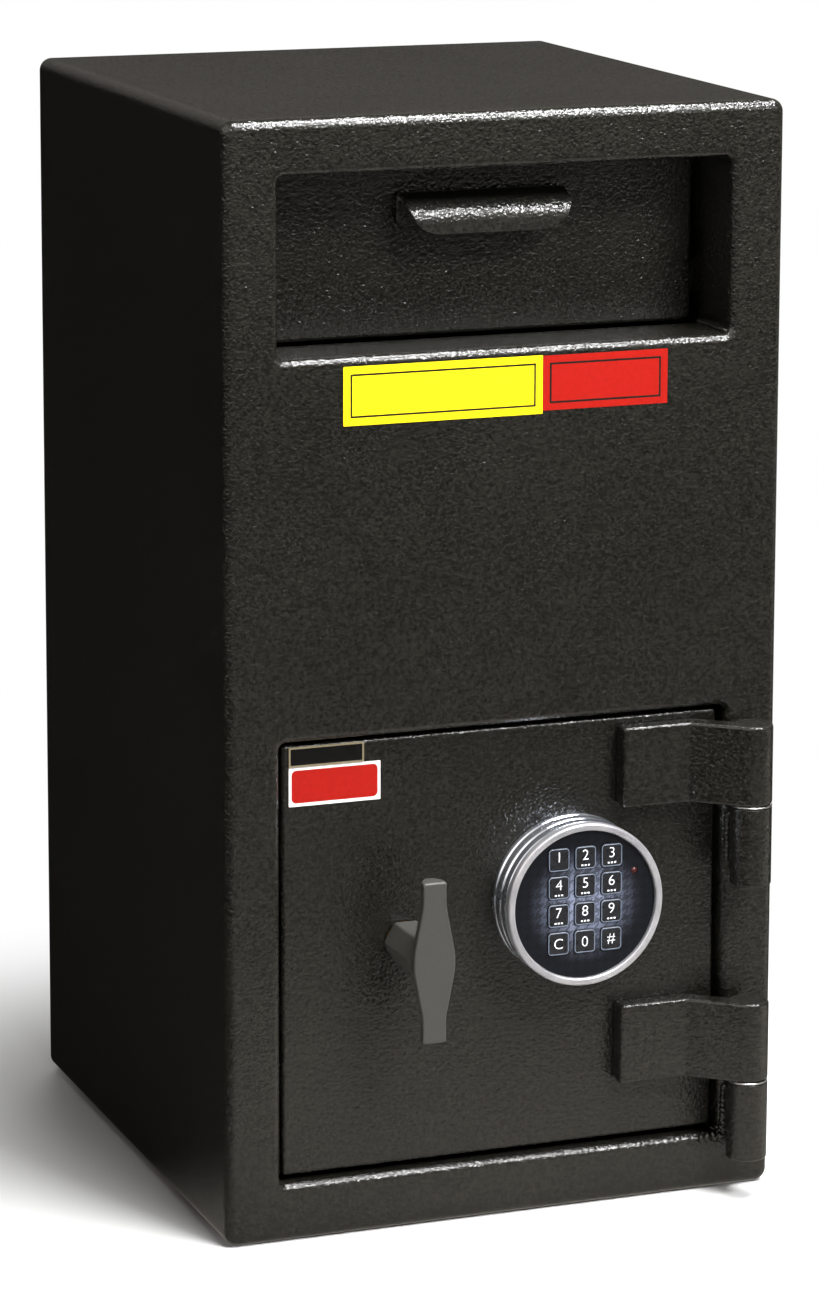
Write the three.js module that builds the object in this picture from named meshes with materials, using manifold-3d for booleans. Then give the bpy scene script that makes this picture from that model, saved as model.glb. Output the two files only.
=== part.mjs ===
import * as THREE from "three";
import { mergeVertices } from "three/addons/utils/BufferGeometryUtils.js";
import Module from "manifold-3d";

// Drop safe with a deposit drawer, in millimetres.
// X runs to the right as seen from the front, Y runs from the front (minus) to the back, Z runs up.
// The origin is the centre of the footprint, on the floor.

const wasm = await Module();
wasm.setup();

// Clearances shared by every fit
const seatGap = 0.3;
const slideGap = 0.5;
const overrun = 2;

// Body of folded and welded sheet
const bodyWidth = 360;
const bodyDepth = 380;
const bodyHeight = 686;
const bodySheet = 3.4;
const bodyEdgeRadius = 6;
const bodyCornerRadius = 8;
const frontReturn = 25;
const backEdgeRadius = 3;
const floorPlateThickness = 6;
const anchorHoleRadius = 7;
const anchorInsetX = 50;
const anchorInsetY = 70;

// Openings in the front, each with a flange folded inwards
const openingEdgeRadius = 5;
const openingCornerRadius = 4.5;
const drawerFrameSide = 34.5;
const drawerFrameTop = 34;
const drawerOpeningHeight = 112;
const drawerFlangeDepth = 48;
const doorFrameSide = 35;
const doorFrameBottom = 35;
const doorOpeningHeight = 275;
const doorFlangeDepth = 24;

// Door plate
const doorThickness = 12.7;
const doorInset = 6.5;
const doorSideGap = 2.7;
const doorTopGap = 2.5;
const doorBottomGap = 3.5;
const doorCornerRadius = 3;

// Hinges: round knuckles on a blind pin, with a cranked leaf on the door
const hingeBesideDoor = 12.7;
const hingeOut = 20;
const knuckleRadius = 12.7;
const leafHeightShare = 0.1881;
const leafThickness = 12.7;
const leafWidthOnDoor = 46;
const leafEndFromAxis = 80;
const seamHeight = 1.8;
const barrelHeight = 49.2;
const hingePinRadius = 6.2;
const hingePinReach = 38;
const blindBoreDepth = 40;
const weldFootWidth = 13;
const weldFootLength = 30;
const upperSeamShare = 0.79219;
const lowerSeamShare = 0.13643;

// T-handle with its hub and spindle
const handleAcrossShare = 0.27688;
const handleRiseShare = 0.52788;
const handleReach = 52.5;
const gripHeight = 100;
const gripDepth = 12;
const gripEndWidth = 15;
const gripMiddleWidth = 26.5;
const gripEndStraight = 15;
const gripMiddleStraight = 10;
const gripEdge = 1.5;
const hubRadius = 14.5;
const hubEndRadius = 13;
const hubRounding = 4;
const spindleRadius = 8;
const spindleInHub = 20;
const spindleSquare = 11;
const bushWall = 4;
const bushFlange = 4;
const bushFlangeThickness = 2;

// Crank on the spindle, which throws the bolts
const crankThickness = 8;
const crankHubRadius = 14;
const crankEndRadius = 9;
const crankRadius = 16.97;
const crankStartDeg = 45;
const crankPinRadius = 4;
const crankSlotClearance = 0.8;
const crankSlotEnd = 1;

// Bolts and the plate that carries them
const boltThrow = 24;
const boltRadius = 12.7;
const boltNose = 3;
const boltLength = 54;
const boltTipInset = 8.5;
const boltBack = 40;
const boltForkDepth = 13.5;
const boltSpacing = 131;
const carriageThickness = 6;
const carriageBarWidth = 22;
const carriageArmHeight = 26;
const carriageArmEnd = 5.5;
const carriageTongueHeight = 44;
const carriageStopHeight = 26;
const carriageStopGap = 7.7;
const guideThickness = 6;
const guideFromTip = 3.5;
const guideReach = 36.5;
const guideFoot = 26;
const guideFootThickness = 5;
const guideMargin = 19;
const guideCornerRadius = 6;
const studBesideHandle = 7.5;
const studRadius = 4;
const studShoulderRadius = 7;
const studHeadRadius = 8;
const studHeadThickness = 3;

// Swing-bolt lock behind the keypad
const lockWidth = 66;
const lockHeight = 92;
const lockDepth = 34;
const lockBesideKeypad = 44.5;
const lockBelowHandle = 27.5;
const lockEdgeRadius = 4;
const lockPivotInset = 14;
const lockPivotRise = 15;
const lockPivotRadius = 3;
const lockBoltLength = 40;
const lockBoltWidth = 15;
const lockBoltThickness = 12;
const lockPocketHeight = 67;
const lockPocketWidth = 30;

// Fixed dead bar on the hinge side
const deadBarFoot = 26;
const deadBarFootThickness = 7.5;
const deadBarThickness = 8;
const deadBarReach = 8;
const deadBarMargin = 22;

// Keypad
const keypadAcrossShare = 0.65636;
const keypadRiseShare = 0.59851;
const keypadRadius = 51;
const keypadDepth = 28;
const keypadFlangeThickness = 4;
const keypadGroove = 2.5;
const keypadGrooveWidth = 2;
const keypadBodyStep = 0.6;
const bezelWidth = 4.5;
const bezelDepth = 6;
const bezelRounding = 1.5;
const keypadFaceRecess = 2.8;
const keypadFaceThickness = 3;
const keypadWell = 9;
const keyColumns = 3;
const keyRows = 4;
const keyPitchX = 17.4;
const keyPitchZ = 17.6;
const keyGridRise = 3;
const keyWidth = 14;
const keyHeight = 14.5;
const keyCornerRadius = 2.5;
const keyProud = 1;
const keyCrown = 0.7;
const keyTravel = 0.8;
const keyTravelSpare = 0.7;
const lampX = 32.7;
const lampZ = 18.1;
const lampRadius = 2;
const lampProud = 0.9;

// Deposit drawer
const drawerSetBack = 53;
const drawerTravel = 130;
const drawerFrontSideGap = 3;
const drawerFrontTopGap = 1;
const drawerFrontBottomGap = 4;
const drawerFrontSheet = 2.5;
const drawerFrontReturn = 14;
const drawerFrontEdge = 3;
const drawerFrontCorner = 4;
const traySheet = 2;
const trayInset = 5.5;
const trayDepth = 146;
const trayTopDrop = 3;
const trayFloorFrontRise = 68;
const trayFloorBackRise = 5;
const traySkirt = 4;
const trayFloorShort = 14;
const pullHalfWidth = 53.5;
const pullTopDrop = 16.5;
const pullNoseDrop = 9.5;
const pullHeight = 25;
const pullReach = 26;
const pullLipTuck = 1.5;
const pullSheet = 2.5;
const pullBend = 5;
const pullNoseBend = 10;
const pullLipCorner = 20;
const pullFlangeCorner = 5;

// Sleeve that the drawer runs in, with its rails
const sleeveSheet = 2;
const sleeveSideGap = 1.5;
const sleeveTopGap = 3;
const sleeveLength = 194;
const sleeveFloorLength = 141;
const sleeveBend = 4;
const railRise = 20;
const railHeight = 20;
const railSheet = 1.5;
const railLength = 170;
const railSetBack = 22;
const runnerLength = 165;
const runnerSetBack = 20;

// Baffle flap, driven by a roller in a curved cam slot
const baffleOpenDeg = 60;
const baffleRodRadius = 4;
const bafflePivotBack = 140;
const bafflePivotDrop = 11;
const baffleLength = 89;
const baffleSheet = 2;
const baffleEyeWall = 2.2;
const baffleSideGap = 2;
const crankArmRadius = 24;
const crankArmThickness = 5;
const crankArmHub = 8;
const crankArmEnd = 6;
const crankArmOffset = 4;
const rollerRadius = 5;
const rollerPinRadius = 2.5;
const rollerWidth = 6;
const rollerClearance = 0.4;
const camSheet = 3;
const camMargin = 9;
const camFootDrop = 14;
const camSteps = 14;

// Plates that keep hands and wires out of the vault
const toothPitch = 18;
const toothHeight = 12;
const chuteSheet = 2.5;
const chuteTongue = 22;
const chuteSlopeDeg = 48;
const chuteLength = 96;
const guardSheet = 2.5;
const guardBehindFlap = 20;
const guardHeight = 132;
const guardFoot = 24;

// How finely round shapes are cut
const bendSteps = 4;
const cornerSteps = 3;
const cornerArcs = 2;
const roundArcs = 6;
const roundSides = 48;
const smallSides = 24;

// Planes and edges that follow from the sizes above
const frontY = -bodyDepth / 2;
const backY = bodyDepth / 2;
const drawerOpeningWidth = bodyWidth - 2 * drawerFrameSide;
const drawerOpeningTop = bodyHeight - drawerFrameTop;
const drawerOpeningBottom = drawerOpeningTop - drawerOpeningHeight;
const doorOpeningWidth = bodyWidth - 2 * doorFrameSide;
const doorOpeningBottom = doorFrameBottom;
const doorOpeningTop = doorOpeningBottom + doorOpeningHeight;
const doorFrontY = frontY + doorInset;
const doorBackY = doorFrontY + doorThickness;
const doorLeftX = -doorOpeningWidth / 2 + doorSideGap;
const doorRightX = doorOpeningWidth / 2 - doorSideGap;
const doorBottomZ = doorOpeningBottom + doorBottomGap;
const doorTopZ = doorOpeningTop - doorTopGap;
const hingeX = doorRightX + hingeBesideDoor;
const hingeY = frontY - hingeOut;
const doorWidth = doorRightX - doorLeftX;
const doorHeight = doorTopZ - doorBottomZ;
const upperSeamZ = doorBottomZ + doorHeight * upperSeamShare;
const lowerSeamZ = doorBottomZ + doorHeight * lowerSeamShare;
const leafHeight = doorHeight * leafHeightShare;
const handleX = doorLeftX + doorWidth * handleAcrossShare;
const handleZ = doorBottomZ + doorHeight * handleRiseShare;
const keypadX = doorLeftX + doorWidth * keypadAcrossShare;
const keypadZ = doorBottomZ + doorHeight * keypadRiseShare;
const boltTipX = doorLeftX + boltTipInset;
const boltY = frontY + boltBack;
const studX = handleX + studBesideHandle;
const lockLeft = keypadX - lockBesideKeypad;
const lockBottom = handleZ - lockBelowHandle;
const crankFrontY = doorBackY + seatGap + bushFlangeThickness + seatGap;
const crankBackY = crankFrontY + crankThickness;
const drawerFaceY = frontY + drawerSetBack;
const drawerHalfWidth = drawerOpeningWidth / 2 - drawerFrontSideGap;
const drawerBottomZ = drawerOpeningBottom + drawerFrontBottomGap;
const drawerTopZ = drawerOpeningTop - drawerFrontTopGap;
const trayHalfWidth = drawerHalfWidth - trayInset;
const trayFrontY = drawerFaceY + drawerFrontSheet + seatGap;
const trayFloorFrontZ = drawerBottomZ + trayFloorFrontRise;
const trayFloorBackZ = drawerBottomZ + trayFloorBackRise;
const pullTopZ = drawerTopZ - pullTopDrop;
const pullNoseZ = pullTopZ - pullNoseDrop;
const pullLipZ = pullTopZ - pullHeight;
const sleeveFrontY = frontY + drawerFlangeDepth + seatGap;
const sleeveHalfWidth = drawerOpeningWidth / 2 + sleeveSideGap;
const sleeveTopZ = drawerOpeningTop + sleeveTopGap;
const railBottomZ = drawerOpeningBottom + railRise;
const bafflePivotY = drawerFaceY + bafflePivotBack;
const bafflePivotZ = drawerTopZ - bafflePivotDrop;
const baffleOpenAngle = THREE.MathUtils.degToRad(baffleOpenDeg);
const guardY = bafflePivotY + baffleLength * Math.sin(baffleOpenAngle) + guardBehindFlap;

// Every solid below is one closed body, with its faces turned outwards, that can be joined and cut

function solidFrom(geometry) {
  const bare = geometry.index ? geometry.toNonIndexed() : geometry.clone();
  bare.deleteAttribute("normal");
  bare.deleteAttribute("uv");
  const merged = mergeVertices(bare, 1e-4);
  const vertProperties = merged.attributes.position.array;
  const triVerts = new Uint32Array(merged.index.array);
  const solid = new wasm.Manifold(new wasm.Mesh({ numProp: 3, vertProperties, triVerts }));
  if (solid.volume() > 0) return solid;
  triVerts.reverse();
  return new wasm.Manifold(new wasm.Mesh({ numProp: 3, vertProperties, triVerts }));
}

function geometryFrom(solid) {
  const mesh = solid.getMesh();
  const geometry = new THREE.BufferGeometry();
  geometry.setAttribute("position", new THREE.BufferAttribute(mesh.vertProperties, 3));
  geometry.setIndex(new THREE.BufferAttribute(mesh.triVerts, 1));
  const faceted = geometry.toNonIndexed();
  faceted.computeVertexNormals();
  return faceted;
}

function joined(...solids) {
  return solids.reduce((whole, next) => whole.add(next));
}

function cutBy(whole, ...tools) {
  return tools.reduce((left, tool) => left.subtract(tool), whole);
}

// A box between two corners
function block(x0, x1, y0, y1, z0, z1) {
  const box = new THREE.BoxGeometry(x1 - x0, y1 - y0, z1 - z0);
  box.translate((x0 + x1) / 2, (y0 + y1) / 2, (z0 + z1) / 2);
  return solidFrom(box);
}

// Rings of equal count, skinned in order and closed by a fan at each end
function loft(rings) {
  const count = rings[0].length;
  const points = rings.flat();
  const faces = [];
  for (let ring = 0; ring + 1 < rings.length; ring++) {
    for (let i = 0; i < count; i++) {
      const a = ring * count + i;
      const b = ring * count + ((i + 1) % count);
      faces.push(a, b, b + count, a, b + count, a + count);
    }
  }
  for (const [first, turned] of [[0, true], [(rings.length - 1) * count, false]]) {
    const centre = new THREE.Vector3();
    for (let i = 0; i < count; i++) centre.add(points[first + i]);
    points.push(centre.divideScalar(count));
    for (let i = 0; i < count; i++) {
      const a = first + i;
      const b = first + ((i + 1) % count);
      faces.push(points.length - 1, turned ? b : a, turned ? a : b);
    }
  }
  const geometry = new THREE.BufferGeometry().setFromPoints(points);
  geometry.setIndex(faces);
  return solidFrom(geometry);
}

// A rounded rectangle that stands in the X-Z plane at depth y
function uprightRing(halfWidth, bottom, top, radius, y, centreX = 0) {
  const ring = [];
  const corners = [
    [centreX + halfWidth - radius, top - radius, 0],
    [centreX - halfWidth + radius, top - radius, 1],
    [centreX - halfWidth + radius, bottom + radius, 2],
    [centreX + halfWidth - radius, bottom + radius, 3],
  ];
  for (const [x, z, quarter] of corners) {
    for (let i = 0; i <= cornerSteps; i++) {
      const angle = ((quarter + i / cornerSteps) * Math.PI) / 2;
      ring.push(new THREE.Vector3(x + radius * Math.cos(angle), y, z + radius * Math.sin(angle)));
    }
  }
  return ring;
}

// A rectangular block whose front edges are rolled over by a radius; a negative inset side flares instead
function rolledBlock(halfWidth, bottom, top, corner, y0, y1, roll, flare = 1) {
  const rings = [];
  for (let i = 0; i <= bendSteps; i++) {
    const angle = ((i / bendSteps) * Math.PI) / 2;
    const inset = flare * roll * (1 - Math.sin(angle));
    const y = y0 + roll * (1 - Math.cos(angle));
    rings.push(uprightRing(halfWidth - inset, bottom + inset, top - inset, corner - inset, y));
  }
  rings.push(uprightRing(halfWidth, bottom, top, corner, y1));
  return rings;
}

// Outlines drawn flat, then pushed through a thickness along one axis
function alongY(shape, y0, y1, curveSegments = cornerArcs) {
  const geometry = new THREE.ExtrudeGeometry(shape, { depth: y1 - y0, bevelEnabled: false, curveSegments });
  geometry.rotateX(Math.PI / 2);
  geometry.translate(0, y1, 0);
  return solidFrom(geometry);
}

function alongX(shape, x0, x1, curveSegments = cornerArcs) {
  const geometry = new THREE.ExtrudeGeometry(shape, { depth: x1 - x0, bevelEnabled: false, curveSegments });
  const acrossYZ = new THREE.Matrix4().makeBasis(
    new THREE.Vector3(0, 1, 0),
    new THREE.Vector3(0, 0, 1),
    new THREE.Vector3(1, 0, 0),
  );
  geometry.applyMatrix4(acrossYZ);
  geometry.translate(x0, 0, 0);
  return solidFrom(geometry);
}

function alongZ(shape, z0, z1, curveSegments = cornerArcs) {
  const geometry = new THREE.ExtrudeGeometry(shape, { depth: z1 - z0, bevelEnabled: false, curveSegments });
  geometry.translate(0, 0, z0);
  return solidFrom(geometry);
}

// A turned piece: the profile lists radius and height from one end of the axis to the other
function turned(profile, axis, sides = roundSides) {
  const geometry = new THREE.LatheGeometry(
    profile.map(([radius, height]) => new THREE.Vector2(radius, height)),
    sides,
  );
  if (axis === "x") geometry.rotateZ(-Math.PI / 2);
  if (axis === "z") geometry.rotateX(Math.PI / 2);
  return solidFrom(geometry);
}

// A plain round bar along an axis, from one place to another
function rod(axis, radius, from, to, a, b, sides = smallSides) {
  const bar = turned([[0, from], [radius, from], [radius, to], [0, to]], axis, sides);
  if (axis === "x") return bar.translate([0, a, b]);
  if (axis === "y") return bar.translate([a, 0, b]);
  return bar.translate([a, b, 0]);
}

function shapeOf(points) {
  return new THREE.Shape(points.map(([x, y]) => new THREE.Vector2(x, y)));
}

function roundedRectangle(x0, x1, y0, y1, radius) {
  const shape = new THREE.Shape();
  shape.moveTo(x0 + radius, y0);
  shape.absarc(x1 - radius, y0 + radius, radius, -Math.PI / 2, 0);
  shape.absarc(x1 - radius, y1 - radius, radius, 0, Math.PI / 2);
  shape.absarc(x0 + radius, y1 - radius, radius, Math.PI / 2, Math.PI);
  shape.absarc(x0 + radius, y0 + radius, radius, Math.PI, 1.5 * Math.PI);
  return shape;
}

// A slot with round ends, lying along one axis of its drawing
function slotOutline(x0, x1, y, radius) {
  const shape = new THREE.Shape();
  shape.absarc(x1, y, radius, -Math.PI / 2, Math.PI / 2);
  shape.absarc(x0, y, radius, Math.PI / 2, 1.5 * Math.PI);
  return shape;
}

// Two round ends joined by their common tangents, the second one above the first
function linkOutline(lowRadius, highRadius, distance) {
  const lean = Math.asin((lowRadius - highRadius) / distance);
  const shape = new THREE.Shape();
  shape.absarc(0, distance, highRadius, lean, Math.PI - lean);
  shape.absarc(0, 0, lowRadius, Math.PI - lean, 2 * Math.PI + lean);
  return shape;
}

// The section of a sheet folded along a line of points, with every fold rounded
function foldedSection(points, bend, thickness) {
  const line = points.map(([x, y]) => new THREE.Vector2(x, y));
  const middle = [];
  line.forEach((point, i) => {
    const before = line[i - 1];
    const after = line[i + 1];
    if (!before || !after) {
      const along = (after ? after.clone().sub(point) : point.clone().sub(before)).normalize();
      middle.push([point, along]);
      return;
    }
    const arriving = point.clone().sub(before).normalize();
    const leaving = after.clone().sub(point).normalize();
    const turn = Math.atan2(arriving.cross(leaving), arriving.dot(leaving));
    const radius = points[i][2] ?? bend;
    const back = radius * Math.tan(Math.abs(turn) / 2);
    const side = new THREE.Vector2(-arriving.y, arriving.x).multiplyScalar(Math.sign(turn) * radius);
    const hub = point.clone().addScaledVector(arriving, -back).add(side);
    for (let step = 0; step <= bendSteps; step++) {
      const angle = (turn * step) / bendSteps;
      const spoke = side.clone().negate().rotateAround(new THREE.Vector2(), angle);
      middle.push([hub.clone().add(spoke), arriving.clone().rotateAround(new THREE.Vector2(), angle)]);
    }
  });
  const offset = (side) =>
    middle.map(([point, along]) =>
      point.clone().add(new THREE.Vector2(-along.y, along.x).multiplyScalar((side * thickness) / 2)),
    );
  return new THREE.Shape([...offset(-1), ...offset(1).reverse()]);
}

// Finishes: colour, roughness and metalness of each material
const finishes = {
  blackPowderCoat: new THREE.MeshStandardMaterial({ color: 0x2f2f2b, roughness: 0.45, metalness: 0 }),
  greyHandlePaint: new THREE.MeshStandardMaterial({ color: 0x565450, roughness: 0.5, metalness: 0 }),
  brightChrome: new THREE.MeshStandardMaterial({ color: 0xc9cacc, roughness: 0.16, metalness: 1 }),
  darkPlastic: new THREE.MeshStandardMaterial({ color: 0x2b2c2e, roughness: 0.45, metalness: 0 }),
  redLens: new THREE.MeshStandardMaterial({ color: 0xb01818, roughness: 0.25, metalness: 0 }),
  bareSteel: new THREE.MeshStandardMaterial({ color: 0x9a9a98, roughness: 0.38, metalness: 1 }),
  zincPlate: new THREE.MeshStandardMaterial({ color: 0xb7b6ad, roughness: 0.34, metalness: 1 }),
  brass: new THREE.MeshStandardMaterial({ color: 0xb08d4a, roughness: 0.35, metalness: 1 }),
  lockCasting: new THREE.MeshStandardMaterial({ color: 0x8c8d8c, roughness: 0.42, metalness: 1 }),
};

function addPiece(group, name, solid, finish) {
  const piece = new THREE.Mesh(geometryFrom(solid), finishes[finish]);
  piece.name = name;
  group.add(piece);
  return piece;
}

// Front frame: a pan whose edges are rolled back, with a folded flange round each opening
function frontFrame() {
  const halfWidth = bodyWidth / 2;
  const skin = loft(
    rolledBlock(halfWidth, 0, bodyHeight, bodyCornerRadius, frontY, frontY + frontReturn, bodyEdgeRadius),
  );
  const hollow = loft(
    rolledBlock(
      halfWidth - bodySheet,
      bodySheet,
      bodyHeight - bodySheet,
      bodyCornerRadius - bodySheet,
      frontY + bodySheet,
      frontY + frontReturn + overrun,
      bodyEdgeRadius - bodySheet,
    ),
  );
  const openings = [
    [drawerOpeningWidth / 2, drawerOpeningBottom, drawerOpeningTop, drawerFlangeDepth],
    [doorOpeningWidth / 2, doorOpeningBottom, doorOpeningTop, doorFlangeDepth],
  ];
  let frame = cutBy(skin, hollow);
  for (const [half, bottom, top, depth] of openings) {
    const corner = openingCornerRadius + bodySheet;
    frame = joined(
      frame,
      loft([
        uprightRing(half + bodySheet, bottom - bodySheet, top + bodySheet, corner, frontY + bodySheet / 2),
        uprightRing(half + bodySheet, bottom - bodySheet, top + bodySheet, corner, frontY + depth),
      ]),
    );
  }
  for (const [half, bottom, top, depth] of openings) {
    const mouth = rolledBlock(
      half,
      bottom,
      top,
      openingCornerRadius,
      frontY,
      frontY + depth + overrun,
      openingEdgeRadius,
      -1,
    );
    const flare = openingEdgeRadius;
    const lead = uprightRing(
      half + flare,
      bottom - flare,
      top + flare,
      openingCornerRadius + flare,
      frontY - overrun,
    );
    frame = cutBy(frame, loft([lead, ...mouth]));
  }
  return frame;
}

// The four anchor bolt places in the floor
function anchorPlaces() {
  const x = bodyWidth / 2 - anchorInsetX;
  const y = bodyDepth / 2 - anchorInsetY;
  return [[-x, -y], [x, -y], [-x, y], [x, y]];
}

function anchorDrills(z0, z1) {
  return anchorPlaces().map(([x, y]) => rod("z", anchorHoleRadius, z0 - overrun, z1 + overrun, x, y));
}

// Wrapper: floor, sides and top folded from one sheet
function bodyWrapper() {
  const half = bodyWidth / 2;
  const y0 = frontY + frontReturn + seatGap;
  const y1 = backY - bodySheet - seatGap;
  const outer = loft([
    uprightRing(half, 0, bodyHeight, bodyCornerRadius, y0),
    uprightRing(half, 0, bodyHeight, bodyCornerRadius, y1),
  ]);
  const corner = bodyCornerRadius - bodySheet;
  const inner = loft([
    uprightRing(half - bodySheet, bodySheet, bodyHeight - bodySheet, corner, y0 - overrun),
    uprightRing(half - bodySheet, bodySheet, bodyHeight - bodySheet, corner, y1 + overrun),
  ]);
  return cutBy(outer, inner, ...anchorDrills(0, bodySheet));
}

function backPanel() {
  const inside = bodySheet - backY;
  const rings = rolledBlock(bodyWidth / 2, 0, bodyHeight, bodyCornerRadius, -backY, inside, backEdgeRadius);
  return loft(rings).rotate([0, 0, 180]);
}

function floorPlate() {
  const half = bodyWidth / 2 - bodyCornerRadius;
  const z0 = bodySheet + seatGap;
  const z1 = z0 + floorPlateThickness;
  const outline = roundedRectangle(
    -half,
    half,
    frontY + frontReturn + seatGap,
    backY - bodySheet - seatGap,
    bodyCornerRadius,
  );
  return cutBy(alongZ(outline, z0, z1), ...anchorDrills(z0, z1));
}

// A sheet with a row of saw teeth along its lower edge, standing in the X-Z plane and hanging from z = 0
function toothedSheet(width, height, thickness) {
  const teeth = Math.floor(width / toothPitch);
  const margin = (width - teeth * toothPitch) / 2;
  const points = [[-width / 2, 0], [-width / 2, -height + toothHeight]];
  for (let i = 0; i < teeth; i++) {
    const x = -width / 2 + margin + i * toothPitch;
    points.push([x, -height + toothHeight], [x + toothPitch / 2, -height]);
  }
  const rootZ = -height + toothHeight;
  points.push([width / 2 - margin, rootZ], [width / 2, rootZ], [width / 2, 0]);
  return alongY(shapeOf(points), 0, thickness);
}

// Chute plate: its tongue sits under the sleeve floor and its slope ends in teeth
function chutePlate() {
  const half = sleeveHalfWidth - seatGap;
  const topZ = drawerOpeningBottom - sleeveSheet - seatGap;
  const endY = sleeveFrontY + sleeveFloorLength;
  const tongue = block(-half, half, endY - chuteTongue, endY + chuteSheet, topZ - chuteSheet, topZ);
  const slope = toothedSheet(2 * half, chuteLength, chuteSheet).rotate([90 - chuteSlopeDeg, 0, 0]);
  return joined(tongue, slope.translate([0, endY, topZ - chuteSheet / 2]));
}

// Guard plate: hangs from the roof behind the flap, folded forwards at the top and toothed at the bottom
function guardPlate() {
  const half = bodyWidth / 2 - bodySheet - bodyCornerRadius;
  const topZ = bodyHeight - bodySheet - seatGap;
  const hanging = toothedSheet(2 * half, guardHeight, guardSheet).translate([0, guardY, topZ]);
  const foot = block(-half, half, guardY - guardFoot, guardY + guardSheet, topZ - guardSheet, topZ);
  return joined(hanging, foot);
}

// Sleeve round the drawer, open behind its floor so that the deposit falls
function drawerSleeve() {
  const y1 = sleeveFrontY + sleeveLength;
  const outerHalf = sleeveHalfWidth + sleeveSheet;
  const bottom = drawerOpeningBottom;
  const outer = loft([
    uprightRing(outerHalf, bottom - sleeveSheet, sleeveTopZ + sleeveSheet, sleeveBend, sleeveFrontY),
    uprightRing(outerHalf, bottom - sleeveSheet, sleeveTopZ + sleeveSheet, sleeveBend, y1),
  ]);
  const corner = sleeveBend - sleeveSheet;
  const inner = loft([
    uprightRing(sleeveHalfWidth, bottom, sleeveTopZ, corner, sleeveFrontY - overrun),
    uprightRing(sleeveHalfWidth, bottom, sleeveTopZ, corner, y1 + overrun),
  ]);
  const drop = block(
    -outerHalf - overrun,
    outerHalf + overrun,
    sleeveFrontY + sleeveFloorLength,
    y1 + overrun,
    bottom - sleeveSheet - overrun,
    bottom + sleeveBend,
  );
  const rodSlot = alongX(
    slotOutline(
      bafflePivotY - drawerTravel,
      bafflePivotY,
      bafflePivotZ,
      baffleRodRadius + rollerClearance + slideGap,
    ),
    sleeveHalfWidth - overrun,
    outerHalf + overrun,
    roundArcs,
  );
  return cutBy(outer, inner, drop, rodSlot);
}

// Rail on the sleeve's wall, open towards the drawer; side is -1 on the left and 1 on the right
function drawerRail(side) {
  const back = sleeveHalfWidth - seatGap;
  const lip = trayHalfWidth + overrun;
  const section = [
    [lip, railBottomZ + railSheet / 2],
    [back - railSheet / 2, railBottomZ + railSheet / 2],
    [back - railSheet / 2, railBottomZ + railHeight - railSheet / 2],
    [lip, railBottomZ + railHeight - railSheet / 2],
  ];
  const outline = foldedSection(
    section.map(([x, z]) => [side * x, z]),
    railSheet,
    railSheet,
  );
  const y0 = sleeveFrontY + railSetBack;
  return alongY(outline, y0, y0 + railLength);
}

// Runner: a bar on the tray that fills its rail but for the running clearance
function drawerRunner(side) {
  const y0 = drawerFaceY + runnerSetBack;
  const inner = trayHalfWidth + seatGap;
  const outer = sleeveHalfWidth - seatGap - railSheet - slideGap;
  const bottom = railBottomZ + railSheet + slideGap;
  const top = railBottomZ + railHeight - railSheet - slideGap;
  const bar = roundedRectangle(y0, y0 + runnerLength, bottom, top, (top - bottom) / 4);
  return side > 0 ? alongX(bar, inner, outer) : alongX(bar, -outer, -inner);
}

// Height and set-back of the cam roller when the drawer is out by a distance
function rollerPlace(out) {
  const swing = baffleOpenAngle * (1 - out / drawerTravel);
  return new THREE.Vector2(
    bafflePivotY - out - crankArmRadius * Math.sin(swing),
    bafflePivotZ + crankArmRadius * Math.cos(swing),
  );
}

// Outline of the cam slot: the roller's path, widened to both sides and rounded at both ends
function camSlot() {
  const reach = rollerRadius + rollerClearance;
  const path = [];
  for (let i = 0; i <= camSteps; i++) path.push(rollerPlace((drawerTravel * i) / camSteps));
  const normals = path.map((_, i) => {
    const along = path[Math.min(i + 1, camSteps)].clone().sub(path[Math.max(i - 1, 0)]).normalize();
    return new THREE.Vector2(-along.y, along.x);
  });
  const side = (sign) => path.map((point, i) => point.clone().addScaledVector(normals[i], sign * reach));
  const cap = (point, normal) => {
    const arc = [];
    for (let i = 1; i < 2 * bendSteps; i++) {
      const angle = (-Math.PI * i) / (2 * bendSteps);
      const spoke = normal.clone().multiplyScalar(reach).rotateAround(new THREE.Vector2(), angle);
      arc.push(point.clone().add(spoke));
    }
    return arc;
  };
  return new THREE.Shape([
    ...side(1),
    ...cap(path[camSteps], normals[camSteps]),
    ...side(-1).reverse(),
    ...cap(path[0], normals[0].clone().negate()),
  ]);
}

// Cam plate: a folded bracket on the sleeve's right wall, with the curved slot in its upright
function camPlate() {
  const start = rollerPlace(0);
  const end = rollerPlace(drawerTravel);
  const inner = sleeveHalfWidth + sleeveSheet + seatGap;
  const x0 = crankArmX() + crankArmThickness + seatGap + rollerWidth / 2 - camSheet / 2;
  const bottom = bafflePivotZ - camFootDrop;
  const y0 = end.x - rollerRadius - camMargin;
  const y1 = start.x + rollerRadius + camMargin;
  const upright = roundedRectangle(y0, y1, bottom, end.y + rollerRadius + camMargin, camSheet);
  const foot = block(inner, x0 + camSheet / 2, y0, y1, bottom, bottom + camSheet);
  const slot = alongX(camSlot(), x0 - overrun, x0 + camSheet + overrun);
  return cutBy(joined(alongX(upright, x0, x0 + camSheet), foot), slot);
}

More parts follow.
